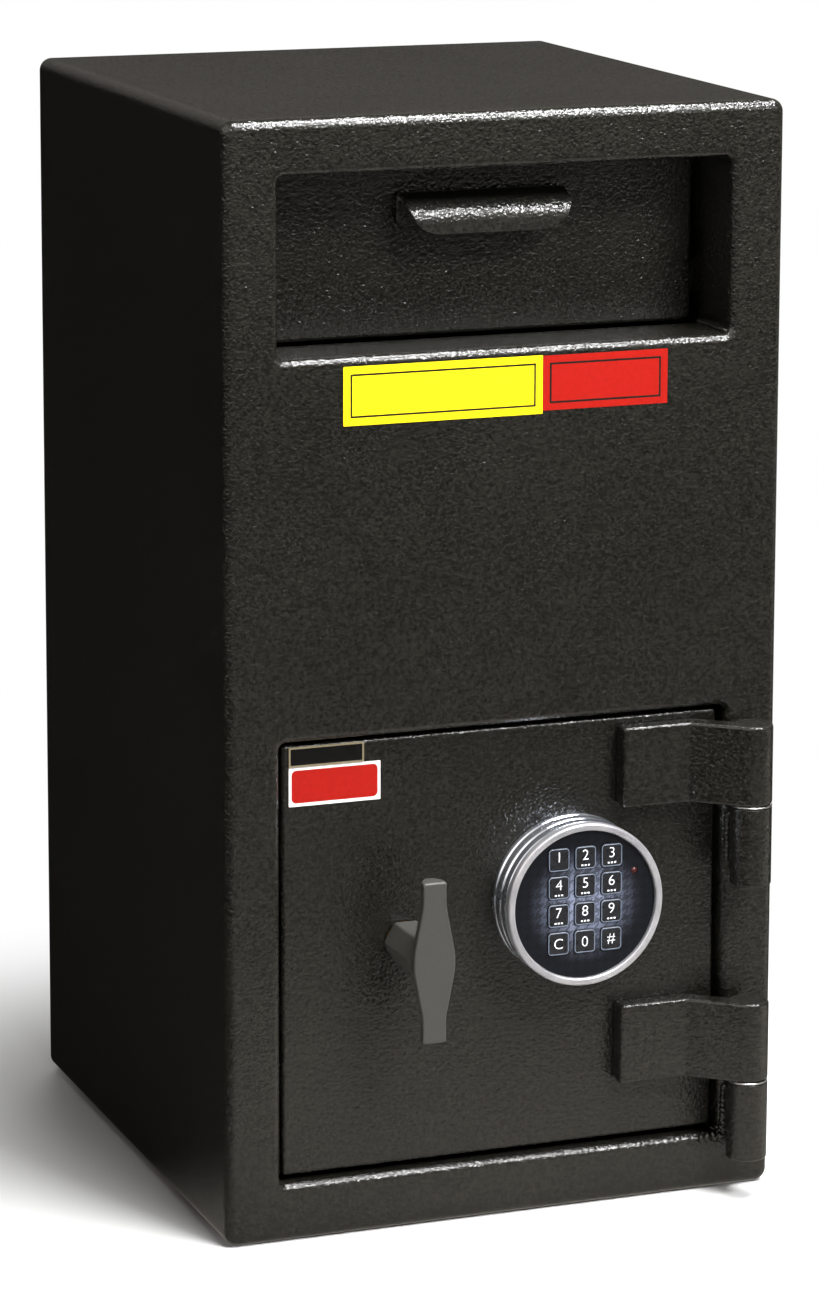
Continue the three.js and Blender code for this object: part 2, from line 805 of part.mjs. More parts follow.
// Door plate with the bore for the handle's bush
function doorPlate() {
  const half = (doorRightX - doorLeftX) / 2;
  const boreRadius = spindleRadius + bushWall + 2 * seatGap;
  const bore = rod("y", boreRadius, doorFrontY - overrun, doorBackY + overrun, handleX, handleZ);
  const plate = loft(
    rolledBlock(half, doorBottomZ, doorTopZ, doorCornerRadius, doorFrontY, doorBackY, doorCornerRadius / 2),
  );
  return cutBy(plate, bore);
}

// Hinge leaf: flat on the door, then cranked out until its front runs on into its blind knuckle
function hingeLeaf(z0) {
  const onDoorY = doorFrontY - seatGap - leafThickness / 2;
  const fold = new THREE.Vector2(hingeX - leafEndFromAxis + leafWidthOnDoor, onDoorY);
  const toAxis = new THREE.Vector2(hingeX, hingeY).sub(fold);
  const lean = Math.asin((knuckleRadius - leafThickness / 2) / toAxis.length());
  const along = toAxis.clone().multiplyScalar(Math.cos(lean)).rotateAround(new THREE.Vector2(), -lean);
  const end = along.add(fold);
  const strap = foldedSection(
    [
      [hingeX - leafEndFromAxis, onDoorY],
      [fold.x, fold.y],
      [end.x, end.y],
    ],
    leafThickness,
    leafThickness,
  );
  const z1 = z0 + leafHeight;
  const knuckle = rod("z", knuckleRadius, z0, z1, hingeX, hingeY, roundSides);
  const bore = rod("z", hingePinRadius + slideGap, z0 - overrun, z0 + blindBoreDepth, hingeX, hingeY);
  return cutBy(joined(alongZ(strap, z0, z1), knuckle), bore);
}

// Hinge barrel: stands on the front frame on a small welded foot
function hingeBarrel(z1) {
  const z0 = z1 - barrelHeight;
  const barrel = rod("z", knuckleRadius, z0, z1, hingeX, hingeY, roundSides);
  const middle = (z0 + z1) / 2;
  const foot = block(
    hingeX - weldFootWidth / 2,
    hingeX + weldFootWidth / 2,
    hingeY,
    frontY - seatGap,
    middle - weldFootLength / 2,
    middle + weldFootLength / 2,
  );
  const bore = rod("z", hingePinRadius + seatGap, z1 - blindBoreDepth, z1 + overrun, hingeX, hingeY);
  return cutBy(joined(barrel, foot), bore);
}

function hingePin(seamZ) {
  return rod("z", hingePinRadius, seamZ - hingePinReach, seamZ + seamHeight + hingePinReach, hingeX, hingeY);
}

function hingeWasher(seamZ) {
  const topZ = seamZ + seamHeight;
  const disc = rod("z", knuckleRadius, seamZ + seatGap, topZ - seatGap, hingeX, hingeY, roundSides);
  const bore = rod("z", hingePinRadius + seatGap, seamZ - overrun, topZ + overrun, hingeX, hingeY);
  return cutBy(disc, bore);
}

// T-handle: a grip with a flat front and a round back, tapering from its middle, on a six-sided hub
function tHandle() {
  const faceY = doorFrontY - handleReach;
  const section = (halfWidth, shrink, z) => {
    const ring = [
      new THREE.Vector3(halfWidth - gripEdge - shrink, faceY + shrink, z),
      new THREE.Vector3(halfWidth - shrink, faceY + gripEdge + shrink, z),
    ];
    const sideDepth = gripDepth / 3;
    for (let i = 0; i <= 2 * bendSteps; i++) {
      const angle = (Math.PI * i) / (2 * bendSteps);
      const y = faceY + sideDepth + (gripDepth - sideDepth - shrink) * Math.sin(angle);
      ring.push(new THREE.Vector3((halfWidth - shrink) * Math.cos(angle), y, z));
    }
    ring.push(new THREE.Vector3(-halfWidth + shrink, faceY + gripEdge + shrink, z));
    ring.push(new THREE.Vector3(-halfWidth + gripEdge + shrink, faceY + shrink, z));
    return ring;
  };
  const end = gripHeight / 2;
  const stations = [
    [gripEndWidth / 2, gripEdge, -end],
    [gripEndWidth / 2, 0, -end + gripEdge],
    [gripEndWidth / 2, 0, -end + gripEndStraight],
    [gripMiddleWidth / 2, 0, -gripMiddleStraight / 2],
    [gripMiddleWidth / 2, 0, gripMiddleStraight / 2],
    [gripEndWidth / 2, 0, end - gripEndStraight],
    [gripEndWidth / 2, 0, end - gripEdge],
    [gripEndWidth / 2, gripEdge, end],
  ];
  const grip = loft(stations.map(([halfWidth, shrink, z]) => section(halfWidth, shrink, z)));
  const hub = turned(
    [
      [0, faceY + gripDepth / 2],
      [hubRadius, faceY + gripDepth / 2],
      [hubRadius, doorFrontY - seatGap - hubRounding],
      [hubEndRadius, doorFrontY - seatGap],
      [0, doorFrontY - seatGap],
    ],
    "y",
    6,
  );
  const bore = rod("y", spindleRadius + seatGap, doorFrontY - seatGap - spindleInHub, doorFrontY, 0, 0);
  return cutBy(joined(grip, hub), bore);
}

// Spindle: round through the door, squared where it drives the crank
function handleSpindle() {
  const start = doorFrontY - spindleInHub;
  const round = rod("y", spindleRadius, start, crankFrontY - seatGap, 0, 0);
  const half = spindleSquare / 2;
  return joined(round, block(-half, half, crankFrontY - 2 * seatGap, crankBackY + seatGap, -half, half));
}

function handleBush() {
  const outer = spindleRadius + bushWall;
  const inner = spindleRadius + seatGap;
  return turned(
    [
      [inner, doorFrontY + seatGap],
      [outer, doorFrontY + seatGap],
      [outer, doorBackY + seatGap],
      [outer + bushFlange, doorBackY + seatGap],
      [outer + bushFlange, doorBackY + seatGap + bushFlangeThickness],
      [inner, doorBackY + seatGap + bushFlangeThickness],
      [inner, doorFrontY + seatGap],
    ],
    "y",
    smallSides,
  ).translate([handleX, 0, handleZ]);
}

// Crank pin's place beside the spindle, with the handle at rest
function crankPinPlace() {
  const angle = THREE.MathUtils.degToRad(crankStartDeg);
  return [crankRadius * Math.cos(angle), crankRadius * Math.sin(angle)];
}

function spindleCrank() {
  const outline = linkOutline(crankHubRadius, crankEndRadius, crankRadius);
  const [pinX, pinZ] = crankPinPlace();
  const half = spindleSquare / 2 + seatGap;
  const arm = alongY(outline, crankFrontY, crankBackY, roundArcs).rotate([0, 90 - crankStartDeg, 0]);
  const squareHole = block(-half, half, crankFrontY - overrun, crankBackY + overrun, -half, half);
  const pinHole = rod("y", crankPinRadius + seatGap, crankFrontY - overrun, crankBackY + overrun, pinX, pinZ);
  return cutBy(arm, squareHole, pinHole);
}

function crankPin() {
  const [pinX, pinZ] = crankPinPlace();
  return rod("y", crankPinRadius, crankFrontY, boltY + carriageThickness, pinX, pinZ);
}

// Bolt: a bar with a turned nose, forked at the tail over the carriage plate
function lockingBolt(z) {
  const bar = turned(
    [
      [0, boltTipX],
      [boltRadius - boltNose, boltTipX],
      [boltRadius, boltTipX + boltNose],
      [boltRadius, boltTipX + boltLength],
      [0, boltTipX + boltLength],
    ],
    "x",
    smallSides,
  ).translate([0, boltY, z]);
  const half = carriageThickness / 2 + seatGap;
  const tail = boltTipX + boltLength;
  const span = boltRadius + overrun;
  const fork = block(tail - boltForkDepth, tail + overrun, boltY - half, boltY + half, z - span, z + span);
  return cutBy(bar, fork);
}

function boltHeights() {
  return [handleZ + boltSpacing / 2, handleZ - boltSpacing / 2];
}

// Carriage plate: joins both bolts, slides on two studs and is driven by the crank pin
function boltCarriage() {
  const left = boltTipX + boltLength - boltForkDepth + seatGap;
  const bar = left + carriageBarWidth;
  const arm = studX + boltThrow + studRadius + carriageArmEnd;
  const [high, low] = boltHeights();
  const halfArm = carriageArmHeight / 2;
  const halfTongue = carriageTongueHeight / 2;
  const halfStop = carriageStopHeight / 2;
  const [pinX, pinZ] = crankPinPlace();
  const tongueZ = handleZ + pinZ;
  const tongue = handleX + pinX + crankPinRadius + crankSlotClearance + crankEndRadius;
  const stop = lockLeft - carriageStopGap;
  const outline = shapeOf([
    [left, low - halfArm],
    [arm, low - halfArm],
    [arm, low + halfArm],
    [bar, low + halfArm],
    [bar, tongueZ - halfTongue],
    [tongue, tongueZ - halfTongue],
    [tongue, tongueZ - halfStop],
    [stop, tongueZ - halfStop],
    [stop, tongueZ + halfStop],
    [tongue, tongueZ + halfStop],
    [tongue, tongueZ + halfTongue],
    [bar, tongueZ + halfTongue],
    [bar, high - halfArm],
    [arm, high - halfArm],
    [arm, high + halfArm],
    [left, high + halfArm],
  ]);
  const y0 = boltY - carriageThickness / 2;
  const y1 = boltY + carriageThickness / 2;
  const pinHalf = crankPinRadius + crankSlotClearance;
  const pinTop = handleZ + crankRadius + crankPinRadius + crankSlotEnd;
  const pinBottom = tongueZ - crankPinRadius - crankSlotEnd;
  const pinSlot = roundedRectangle(
    handleX + pinX - pinHalf,
    handleX + pinX + pinHalf,
    pinBottom,
    pinTop,
    pinHalf - slideGap,
  );
  const studSlots = [high, low].map((z) => {
    const slot = slotOutline(studX, studX + boltThrow, z, studRadius + slideGap);
    return alongY(slot, y0 - overrun, y1 + overrun, roundArcs);
  });
  return cutBy(alongY(outline, y0, y1), alongY(pinSlot, y0 - overrun, y1 + overrun), ...studSlots);
}

// Bolt guide: an angle on the door, bored for both bolts
function boltGuide() {
  const x0 = boltTipX + guideFromTip;
  const x1 = x0 + guideThickness;
  const [high, low] = boltHeights();
  const y0 = doorBackY + seatGap;
  const bottom = low - guideMargin - boltRadius;
  const top = high + guideMargin + boltRadius;
  const upright = alongX(roundedRectangle(y0, y0 + guideReach, bottom, top, guideCornerRadius), x0, x1);
  const foot = block(x1 - guideThickness / 2, x1 + guideFoot, y0, y0 + guideFootThickness, bottom, top);
  const bores = [high, low].map((z) =>
    rod("x", boltRadius + slideGap, x0 - overrun, x1 + overrun, boltY, z, roundSides),
  );
  return cutBy(joined(upright, foot), ...bores);
}

// Stud: a shoulder on the door, a shank through the carriage slot and a head behind it
function carriageStud(z) {
  const shoulder = boltY - carriageThickness / 2 - seatGap;
  const head = boltY + carriageThickness / 2 + seatGap;
  return turned(
    [
      [0, doorBackY + seatGap],
      [studShoulderRadius, doorBackY + seatGap],
      [studShoulderRadius, shoulder],
      [studRadius, shoulder],
      [studRadius, head],
      [studHeadRadius, head],
      [studHeadRadius, head + studHeadThickness],
      [0, head + studHeadThickness],
    ],
    "y",
    smallSides,
  ).translate([studX, 0, z]);
}

// Lock body: a casting with a pocket, open to the left, that the swing bolt folds into
function lockCase() {
  const y0 = doorBackY + seatGap;
  const right = lockLeft + lockWidth;
  const top = lockBottom + lockHeight;
  const body = loft(
    rolledBlock(lockWidth / 2, lockBottom, top, lockEdgeRadius, -y0 - lockDepth, -y0, lockEdgeRadius / 2),
  )
    .rotate([0, 0, 180])
    .translate([(lockLeft + right) / 2, 0, 0]);
  const half = lockBoltThickness / 2 + slideGap;
  const pocketBottom = lockBottom + lockPivotRise - lockBoltWidth / 2 - slideGap;
  const pocket = block(
    lockLeft - overrun,
    lockLeft + lockPocketWidth,
    boltY - half,
    boltY + half,
    pocketBottom,
    pocketBottom + lockPocketHeight,
  );
  const y1 = y0 + lockDepth - overrun;
  const bore = rod("y", lockPivotRadius + seatGap, y0 + overrun, y1, lockPivotX(), lockPivotZ());
  return cutBy(body, pocket, bore);
}

function lockPivotX() {
  return lockLeft + lockPivotInset;
}

function lockPivotZ() {
  return lockBottom + lockPivotRise;
}

function lockPivotPin() {
  const y0 = doorBackY + seatGap + overrun + seatGap;
  const y1 = doorBackY + lockDepth - overrun;
  return rod("y", lockPivotRadius, y0, y1, lockPivotX(), lockPivotZ());
}

function swingBolt() {
  const outline = linkOutline(lockBoltWidth / 2, lockBoltWidth / 2, lockBoltLength);
  const y0 = boltY - lockBoltThickness / 2;
  const y1 = boltY + lockBoltThickness / 2;
  const bore = rod("y", lockPivotRadius + seatGap, y0 - overrun, y1 + overrun, 0, 0);
  return cutBy(alongY(outline, y0, y1, roundArcs), bore);
}

// Dead bar: a folded bar on the hinge side that reaches behind the jamb
function deadBar() {
  const y0 = doorBackY + seatGap;
  const footY = y0 + deadBarFootThickness;
  const right = doorRightX + deadBarReach;
  const footRight = doorRightX - deadBarReach / 2;
  const outline = shapeOf([
    [footRight - deadBarFoot, y0],
    [footRight, y0],
    [footRight, footY],
    [right, footY],
    [right, footY + deadBarThickness],
    [footRight - deadBarFoot, footY + deadBarThickness],
  ]);
  return alongZ(outline, doorBottomZ + deadBarMargin, doorTopZ - deadBarMargin);
}

// Keypad body: a flange, a groove and a drum, hollowed in front for the face
function keypadBase() {
  const back = doorFrontY - seatGap;
  const flange = back - keypadFlangeThickness;
  const groove = flange - keypadGrooveWidth;
  const drum = keypadRadius - keypadBodyStep;
  const front = back - keypadDepth + bezelDepth + seatGap;
  const well = back - keypadDepth + keypadWell;
  return turned(
    [
      [0, back],
      [keypadRadius, back],
      [keypadRadius, flange],
      [keypadRadius - keypadGroove, flange],
      [keypadRadius - keypadGroove, groove],
      [drum, groove],
      [drum, front],
      [keypadRadius - bezelWidth, front],
      [keypadRadius - bezelWidth, well],
      [0, well],
    ],
    "y",
  ).translate([keypadX, 0, keypadZ]);
}

function keypadBezel() {
  const front = doorFrontY - seatGap - keypadDepth;
  const inner = keypadRadius - bezelWidth;
  const back = front + bezelDepth;
  return turned(
    [
      [inner, back],
      [inner, front + bezelRounding],
      [inner + bezelRounding, front],
      [keypadRadius - bezelRounding, front],
      [keypadRadius, front + bezelRounding],
      [keypadRadius, back],
      [inner, back],
    ],
    "y",
  ).translate([keypadX, 0, keypadZ]);
}

function keypadFaceY() {
  return doorFrontY - seatGap - keypadDepth + keypadFaceRecess;
}

// Centre of each key on the face, row by row from the top
function keyPlaces() {
  const places = [];
  for (let row = 0; row < keyRows; row++) {
    for (let column = 0; column < keyColumns; column++) {
      const x = (column - (keyColumns - 1) / 2) * keyPitchX;
      const z = ((keyRows - 1) / 2 - row) * keyPitchZ + keyGridRise;
      places.push([x, z]);
    }
  }
  return places;
}

// Keypad face: a disc with a hole for each key and one for the lamp
function keypadFace() {
  const y0 = keypadFaceY();
  const y1 = y0 + keypadFaceThickness;
  const disc = rod("y", keypadRadius - bezelWidth - seatGap, y0, y1, 0, 0, roundSides);
  const halfX = keyWidth / 2 + seatGap;
  const halfZ = keyHeight / 2 + seatGap;
  const wells = keyPlaces().map(([x, z]) =>
    alongY(
      roundedRectangle(x - halfX, x + halfX, z - halfZ, z + halfZ, keyCornerRadius),
      y0 - overrun,
      y1 + overrun,
    ),
  );
  const lamp = rod("y", lampRadius + seatGap, y0 - overrun, y1 + overrun, lampX, lampZ);
  return cutBy(disc, ...wells, lamp).translate([keypadX, 0, keypadZ]);
}

// Key cap, crowned at the front, with room behind it for its travel
function keyCap() {
  const front = keypadFaceY() - keyProud;
  const back = doorFrontY - seatGap - keypadDepth + keypadWell - keyTravel - keyTravelSpare;
  const ring = (shrink, y) =>
    uprightRing(
      keyWidth / 2 - shrink,
      -keyHeight / 2 + shrink,
      keyHeight / 2 - shrink,
      keyCornerRadius - shrink,
      y,
    );
  return loft([ring(keyCrown, front), ring(0, front + keyCrown), ring(0, back)]);
}

function statusLamp() {
  const face = keypadFaceY();
  return turned(
    [
      [0, face + keypadFaceThickness],
      [lampRadius, face + keypadFaceThickness],
      [lampRadius, face],
      [lampRadius / 2, face - lampProud],
      [0, face - lampProud],
    ],
    "y",
    smallSides,
  ).translate([keypadX + lampX, 0, keypadZ + lampZ]);
}

// Drawer front: a pan with rolled edges
function drawerFront() {
  const sheet = drawerFrontSheet;
  const y1 = drawerFaceY + drawerFrontReturn;
  const outer = loft(
    rolledBlock(
      drawerHalfWidth,
      drawerBottomZ,
      drawerTopZ,
      drawerFrontCorner,
      drawerFaceY,
      y1,
      drawerFrontEdge,
    ),
  );
  const inner = loft(
    [drawerFaceY + sheet, y1 + overrun].map((y) =>
      uprightRing(
        drawerHalfWidth - sheet,
        drawerBottomZ + sheet,
        drawerTopZ - sheet,
        drawerFrontCorner - sheet,
        y,
      ),
    ),
  );
  return cutBy(outer, inner);
}

// Tray: two side walls, a floor that slopes down to the back and a flange behind the drawer front
function drawerTray() {
  const y0 = trayFrontY;
  const y1 = drawerFaceY + trayDepth;
  const floorEnd = y1 - trayFloorShort;
  const topZ = drawerTopZ - trayTopDrop;
  const wall = shapeOf([
    [y0, trayFloorFrontZ - traySkirt - (trayFloorFrontZ - trayFloorBackZ) / 2],
    [floorEnd, trayFloorBackZ - traySkirt],
    [y1, trayFloorBackZ + traySkirt],
    [y1, topZ - traySkirt],
    [y1 - traySkirt, topZ],
    [y0, topZ],
  ]);
  const floor = shapeOf([
    [y0, trayFloorFrontZ],
    [y0, trayFloorFrontZ - traySheet],
    [floorEnd, trayFloorBackZ - traySheet],
    [floorEnd, trayFloorBackZ],
  ]);
  const inside = trayHalfWidth - traySheet;
  const fitted = trayHalfWidth - seatGap;
  const pinReach = baffleRodRadius + seatGap;
  const tray = joined(
    alongX(wall, -trayHalfWidth, -inside),
    alongX(wall, inside, trayHalfWidth),
    alongX(floor, -fitted, fitted),
    block(-fitted, fitted, y0, y0 + traySheet, trayFloorFrontZ - traySheet, topZ),
  );
  return cutBy(
    tray,
    rod("x", pinReach, -trayHalfWidth - overrun, trayHalfWidth + overrun, bafflePivotY, bafflePivotZ),
  );
}

// Pull: one strip of sheet, flat on the drawer front, folded out over the fingers and down to a lip
function drawerPull() {
  const against = drawerFaceY - seatGap;
  const near = against - pullSheet / 2;
  const nose = against - pullReach + pullSheet / 2;
  const section = foldedSection(
    [
      [near, pullLipZ + pullFlangeCorner / 2],
      [near, pullTopZ],
      [nose, pullNoseZ, pullNoseBend],
      [nose + pullLipTuck, pullLipZ],
    ],
    pullBend,
    pullSheet,
  );
  const strip = alongX(section, -pullHalfWidth, pullHalfWidth);
  const scallop = (side, radius, z, y0, y1) => {
    const corner = new THREE.Shape();
    const x = side * (pullHalfWidth - radius);
    corner.moveTo(side * (pullHalfWidth + overrun), z + radius);
    corner.lineTo(side * pullHalfWidth, z + radius);
    for (let i = 1; i <= 2 * bendSteps; i++) {
      const angle = (Math.PI * i) / (4 * bendSteps);
      corner.lineTo(x + side * radius * Math.cos(angle), z + radius - radius * Math.sin(angle));
    }
    corner.lineTo(x, z - overrun);
    corner.lineTo(side * (pullHalfWidth + overrun), z - overrun);
    return alongY(corner, y0, y1);
  };
  const split = against - 2 * pullSheet;
  const lip = pullLipZ - pullSheet / 2;
  return cutBy(
    strip,
    scallop(-1, pullLipCorner, lip, nose - pullSheet, split),
    scallop(1, pullLipCorner, lip, nose - pullSheet, split),
    scallop(-1, pullFlangeCorner, pullLipZ + pullFlangeCorner / 2, split, against + overrun),
    scallop(1, pullFlangeCorner, pullLipZ + pullFlangeCorner / 2, split, against + overrun),
  );
}

// Baffle flap: a sheet that hangs from a rolled eye on its rod, drawn hanging straight down
function baffleFlap() {
  const half = trayHalfWidth - traySheet - baffleSideGap;
  const eye = baffleRodRadius + seatGap + baffleEyeWall;
  const top = -baffleRodRadius - seatGap;
  const sheet = block(-half, half, -baffleSheet / 2, baffleSheet / 2, -baffleLength, top);
  return cutBy(
    joined(sheet, rod("x", eye, -half, half, 0, 0)),
    rod("x", baffleRodRadius + seatGap, -half - overrun, half + overrun, 0, 0),
  );
}

function crankArmX() {
  return sleeveHalfWidth + sleeveSheet + crankArmOffset;
}

function baffleRod() {
  return rod("x", baffleRodRadius, -trayHalfWidth - overrun, crankArmX() + crankArmThickness, 0, 0);
}

// Crank arm on the rod, with the roller's pin at its end
function baffleCrank() {
  const outline = linkOutline(crankArmHub, crankArmEnd, crankArmRadius);
  const x0 = crankArmX();
  const x1 = x0 + crankArmThickness;
  const pinEnd = x1 + seatGap + rollerWidth + seatGap;
  const pin = rod("x", rollerPinRadius, x0 + overrun, pinEnd, 0, crankArmRadius);
  const bore = rod("x", baffleRodRadius + seatGap, x0 - overrun, x1 + overrun, 0, 0);
  return joined(cutBy(alongX(outline, x0, x1, roundArcs), bore), pin);
}

function camRoller() {
  const x0 = crankArmX() + crankArmThickness + seatGap;
  return cutBy(
    rod("x", rollerRadius, x0, x0 + rollerWidth, 0, crankArmRadius),
    rod("x", rollerPinRadius + seatGap, x0 - overrun, x0 + rollerWidth + overrun, 0, crankArmRadius),
  );
}

// The safe's fixed body
const safe = new THREE.Group();
addPiece(safe, "front_frame", frontFrame(), "blackPowderCoat");
addPiece(safe, "body_wrapper", bodyWrapper(), "blackPowderCoat");
addPiece(safe, "back_panel", backPanel(), "blackPowderCoat");
addPiece(safe, "floor_plate", floorPlate(), "blackPowderCoat");
addPiece(safe, "drawer_sleeve", drawerSleeve(), "blackPowderCoat");
addPiece(safe, "rail_left", drawerRail(-1), "zincPlate");
addPiece(safe, "rail_right", drawerRail(1), "zincPlate");
addPiece(safe, "cam_plate", camPlate(), "zincPlate");
addPiece(safe, "chute_plate", chutePlate(), "blackPowderCoat");
addPiece(safe, "guard_plate", guardPlate(), "blackPowderCoat");
for (const [level, seamZ] of [["upper", upperSeamZ], ["lower", lowerSeamZ]]) {
  addPiece(safe, `hinge_barrel_${level}`, hingeBarrel(seamZ), "blackPowderCoat");
  addPiece(safe, `hinge_pin_${level}`, hingePin(seamZ), "bareSteel");
  addPiece(safe, `hinge_washer_${level}`, hingeWasher(seamZ), "bareSteel");
}

// The door, with everything that swings with it
const door = new THREE.Group();
safe.add(door);
addPiece(door, "door_plate", doorPlate(), "blackPowderCoat");
for (const [level, seamZ] of [["upper", upperSeamZ], ["lower", lowerSeamZ]]) {
  addPiece(door, `hinge_leaf_${level}`, hingeLeaf(seamZ + seamHeight), "blackPowderCoat");
}
addPiece(door, "dead_bar", deadBar(), "bareSteel");
addPiece(door, "bolt_guide", boltGuide(), "bareSteel");
addPiece(door, "lock_case", lockCase(), "lockCasting");
addPiece(door, "lock_pivot_pin", lockPivotPin(), "bareSteel");
addPiece(door, "handle_bush", handleBush(), "brass");
["upper", "lower"].forEach((level, i) => {
  addPiece(door, `carriage_stud_${level}`, carriageStud(boltHeights()[i]), "zincPlate");
});

// The handle turns about its spindle
const handle = new THREE.Group();
handle.position.set(handleX, 0, handleZ);
door.add(handle);
addPiece(handle, "t_handle", tHandle(), "greyHandlePaint");
addPiece(handle, "handle_spindle", handleSpindle(), "bareSteel");
addPiece(handle, "spindle_crank", spindleCrank(), "zincPlate");
addPiece(handle, "crank_pin", crankPin(), "bareSteel");

// The boltwork slides sideways
const boltwork = new THREE.Group();
door.add(boltwork);
addPiece(boltwork, "bolt_carriage", boltCarriage(), "zincPlate");
["upper", "lower"].forEach((level, i) => {
  addPiece(boltwork, `locking_bolt_${level}`, lockingBolt(boltHeights()[i]), "bareSteel");
});

// The lock's own bolt swings out behind the carriage
const lockSwing = new THREE.Group();
lockSwing.position.set(lockPivotX(), 0, lockPivotZ());
door.add(lockSwing);
addPiece(lockSwing, "swing_bolt", swingBolt(), "brass");

// The keypad, with one node for each key
addPiece(door, "keypad_base", keypadBase(), "brightChrome");
addPiece(door, "keypad_bezel", keypadBezel(), "brightChrome");
addPiece(door, "keypad_face", keypadFace(), "darkPlastic");
addPiece(door, "status_lamp", statusLamp(), "redLens");
const keyNames = ["1", "2", "3", "4", "5", "6", "7", "8", "9", "c", "0", "hash"];
keyPlaces().forEach(([x, z], i) => {
  const key = addPiece(door, `key_${keyNames[i]}`, keyCap(), "darkPlastic");
  key.position.set(keypadX + x, 0, keypadZ + z);
});

// The drawer slides out of the front
const drawer = new THREE.Group();
safe.add(drawer);
addPiece(drawer, "drawer_front", drawerFront(), "blackPowderCoat");
addPiece(drawer, "drawer_tray", drawerTray(), "blackPowderCoat");
addPiece(drawer, "drawer_pull", drawerPull(), "blackPowderCoat");
addPiece(drawer, "runner_left", drawerRunner(-1), "zincPlate");
addPiece(drawer, "runner_right", drawerRunner(1), "zincPlate");

// The baffle flap stands open at the back of the closed drawer
const baffle = new THREE.Group();
baffle.position.set(0, bafflePivotY, bafflePivotZ);
baffle.rotation.x = baffleOpenAngle;
drawer.add(baffle);
addPiece(baffle, "baffle_flap", baffleFlap(), "zincPlate");
addPiece(baffle, "baffle_rod", baffleRod(), "bareSteel");
addPiece(baffle, "baffle_crank", baffleCrank(), "zincPlate");
addPiece(baffle, "cam_roller", camRoller(), "brass");

export default safe;
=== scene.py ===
import math

import bmesh
import bpy
import numpy as np
from mathutils import Matrix, Vector
from mathutils.geometry import tessellate_polygon


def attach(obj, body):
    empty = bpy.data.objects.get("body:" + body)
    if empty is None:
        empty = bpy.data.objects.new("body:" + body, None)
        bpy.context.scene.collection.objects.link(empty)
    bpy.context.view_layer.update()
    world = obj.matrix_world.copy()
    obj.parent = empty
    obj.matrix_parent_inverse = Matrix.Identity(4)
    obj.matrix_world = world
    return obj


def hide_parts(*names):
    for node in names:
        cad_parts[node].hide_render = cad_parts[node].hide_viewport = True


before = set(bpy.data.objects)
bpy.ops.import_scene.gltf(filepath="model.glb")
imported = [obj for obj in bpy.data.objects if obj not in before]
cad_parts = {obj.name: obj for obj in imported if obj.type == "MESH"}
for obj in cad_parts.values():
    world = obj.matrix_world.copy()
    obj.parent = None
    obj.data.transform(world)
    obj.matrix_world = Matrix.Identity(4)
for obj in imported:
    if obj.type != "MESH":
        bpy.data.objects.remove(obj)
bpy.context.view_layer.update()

MM = 0.001
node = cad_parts

# The view: a long lens at the left of the safe's front and above its top, turned a little down.
# Its place, turns and length come from the corners of the body in the photograph, 1300 pixels high.
photo_height, focal_pixels = 1300, 4716.1
camera_place = (-1.0380, -2.7725, 1.0040)
camera_turn, camera_tip, camera_roll = -20.668, 79.764, 0.158
lens = bpy.data.cameras.new("camera")
lens.sensor_fit = "AUTO"
lens.sensor_width = 36
lens.lens = focal_pixels / photo_height * lens.sensor_width
lens.shift_y = -0.18
lens.clip_end = 50
camera = bpy.data.objects.new("camera", lens)
bpy.context.scene.collection.objects.link(camera)
turn = Matrix.Rotation(math.radians(camera_turn), 4, "Z")
tip = Matrix.Rotation(math.radians(camera_tip), 4, "X")
roll = Matrix.Rotation(math.radians(camera_roll), 4, "Z")
camera.matrix_world = Matrix.Translation(camera_place) @ turn @ tip @ roll
bpy.context.scene.camera = camera
bpy.context.scene.view_settings.view_transform = "Standard"


class Value:
    """One value inside a material. Arithmetic on it adds the Math nodes that work it out."""

    def __init__(self, finish, socket):
        self.finish, self.socket = finish, socket

    def maths(self, operation, first, second=0.0):
        return self.finish.node("ShaderNodeMath", {"operation": operation}, {0: first, 1: second})

    def __add__(self, other):
        return self.maths("ADD", self, other)

    def __sub__(self, other):
        return self.maths("SUBTRACT", self, other)

    def __rsub__(self, other):
        return self.maths("SUBTRACT", other, self)

    def __mul__(self, other):
        return self.maths("MULTIPLY", self, other)

    def __pow__(self, other):
        return self.maths("POWER", self, other)

    __radd__ = __add__
    __rmul__ = __mul__

    def floor(self):
        return self.maths("FLOOR", self)

    def modulo(self, period):
        return self.maths("MODULO", self, period)

    def below(self, edge):
        """1 under the edge and 0 from it on."""
        return self.maths("LESS_THAN", self, edge)

    def within(self, low, high):
        """0 at low and under, 1 at high and over, and a smooth rise between them."""
        return self.finish.node(
            "ShaderNodeMapRange",
            {"interpolation_type": "SMOOTHSTEP"},
            {"Value": self, "From Min": low, "From Max": high},
        )


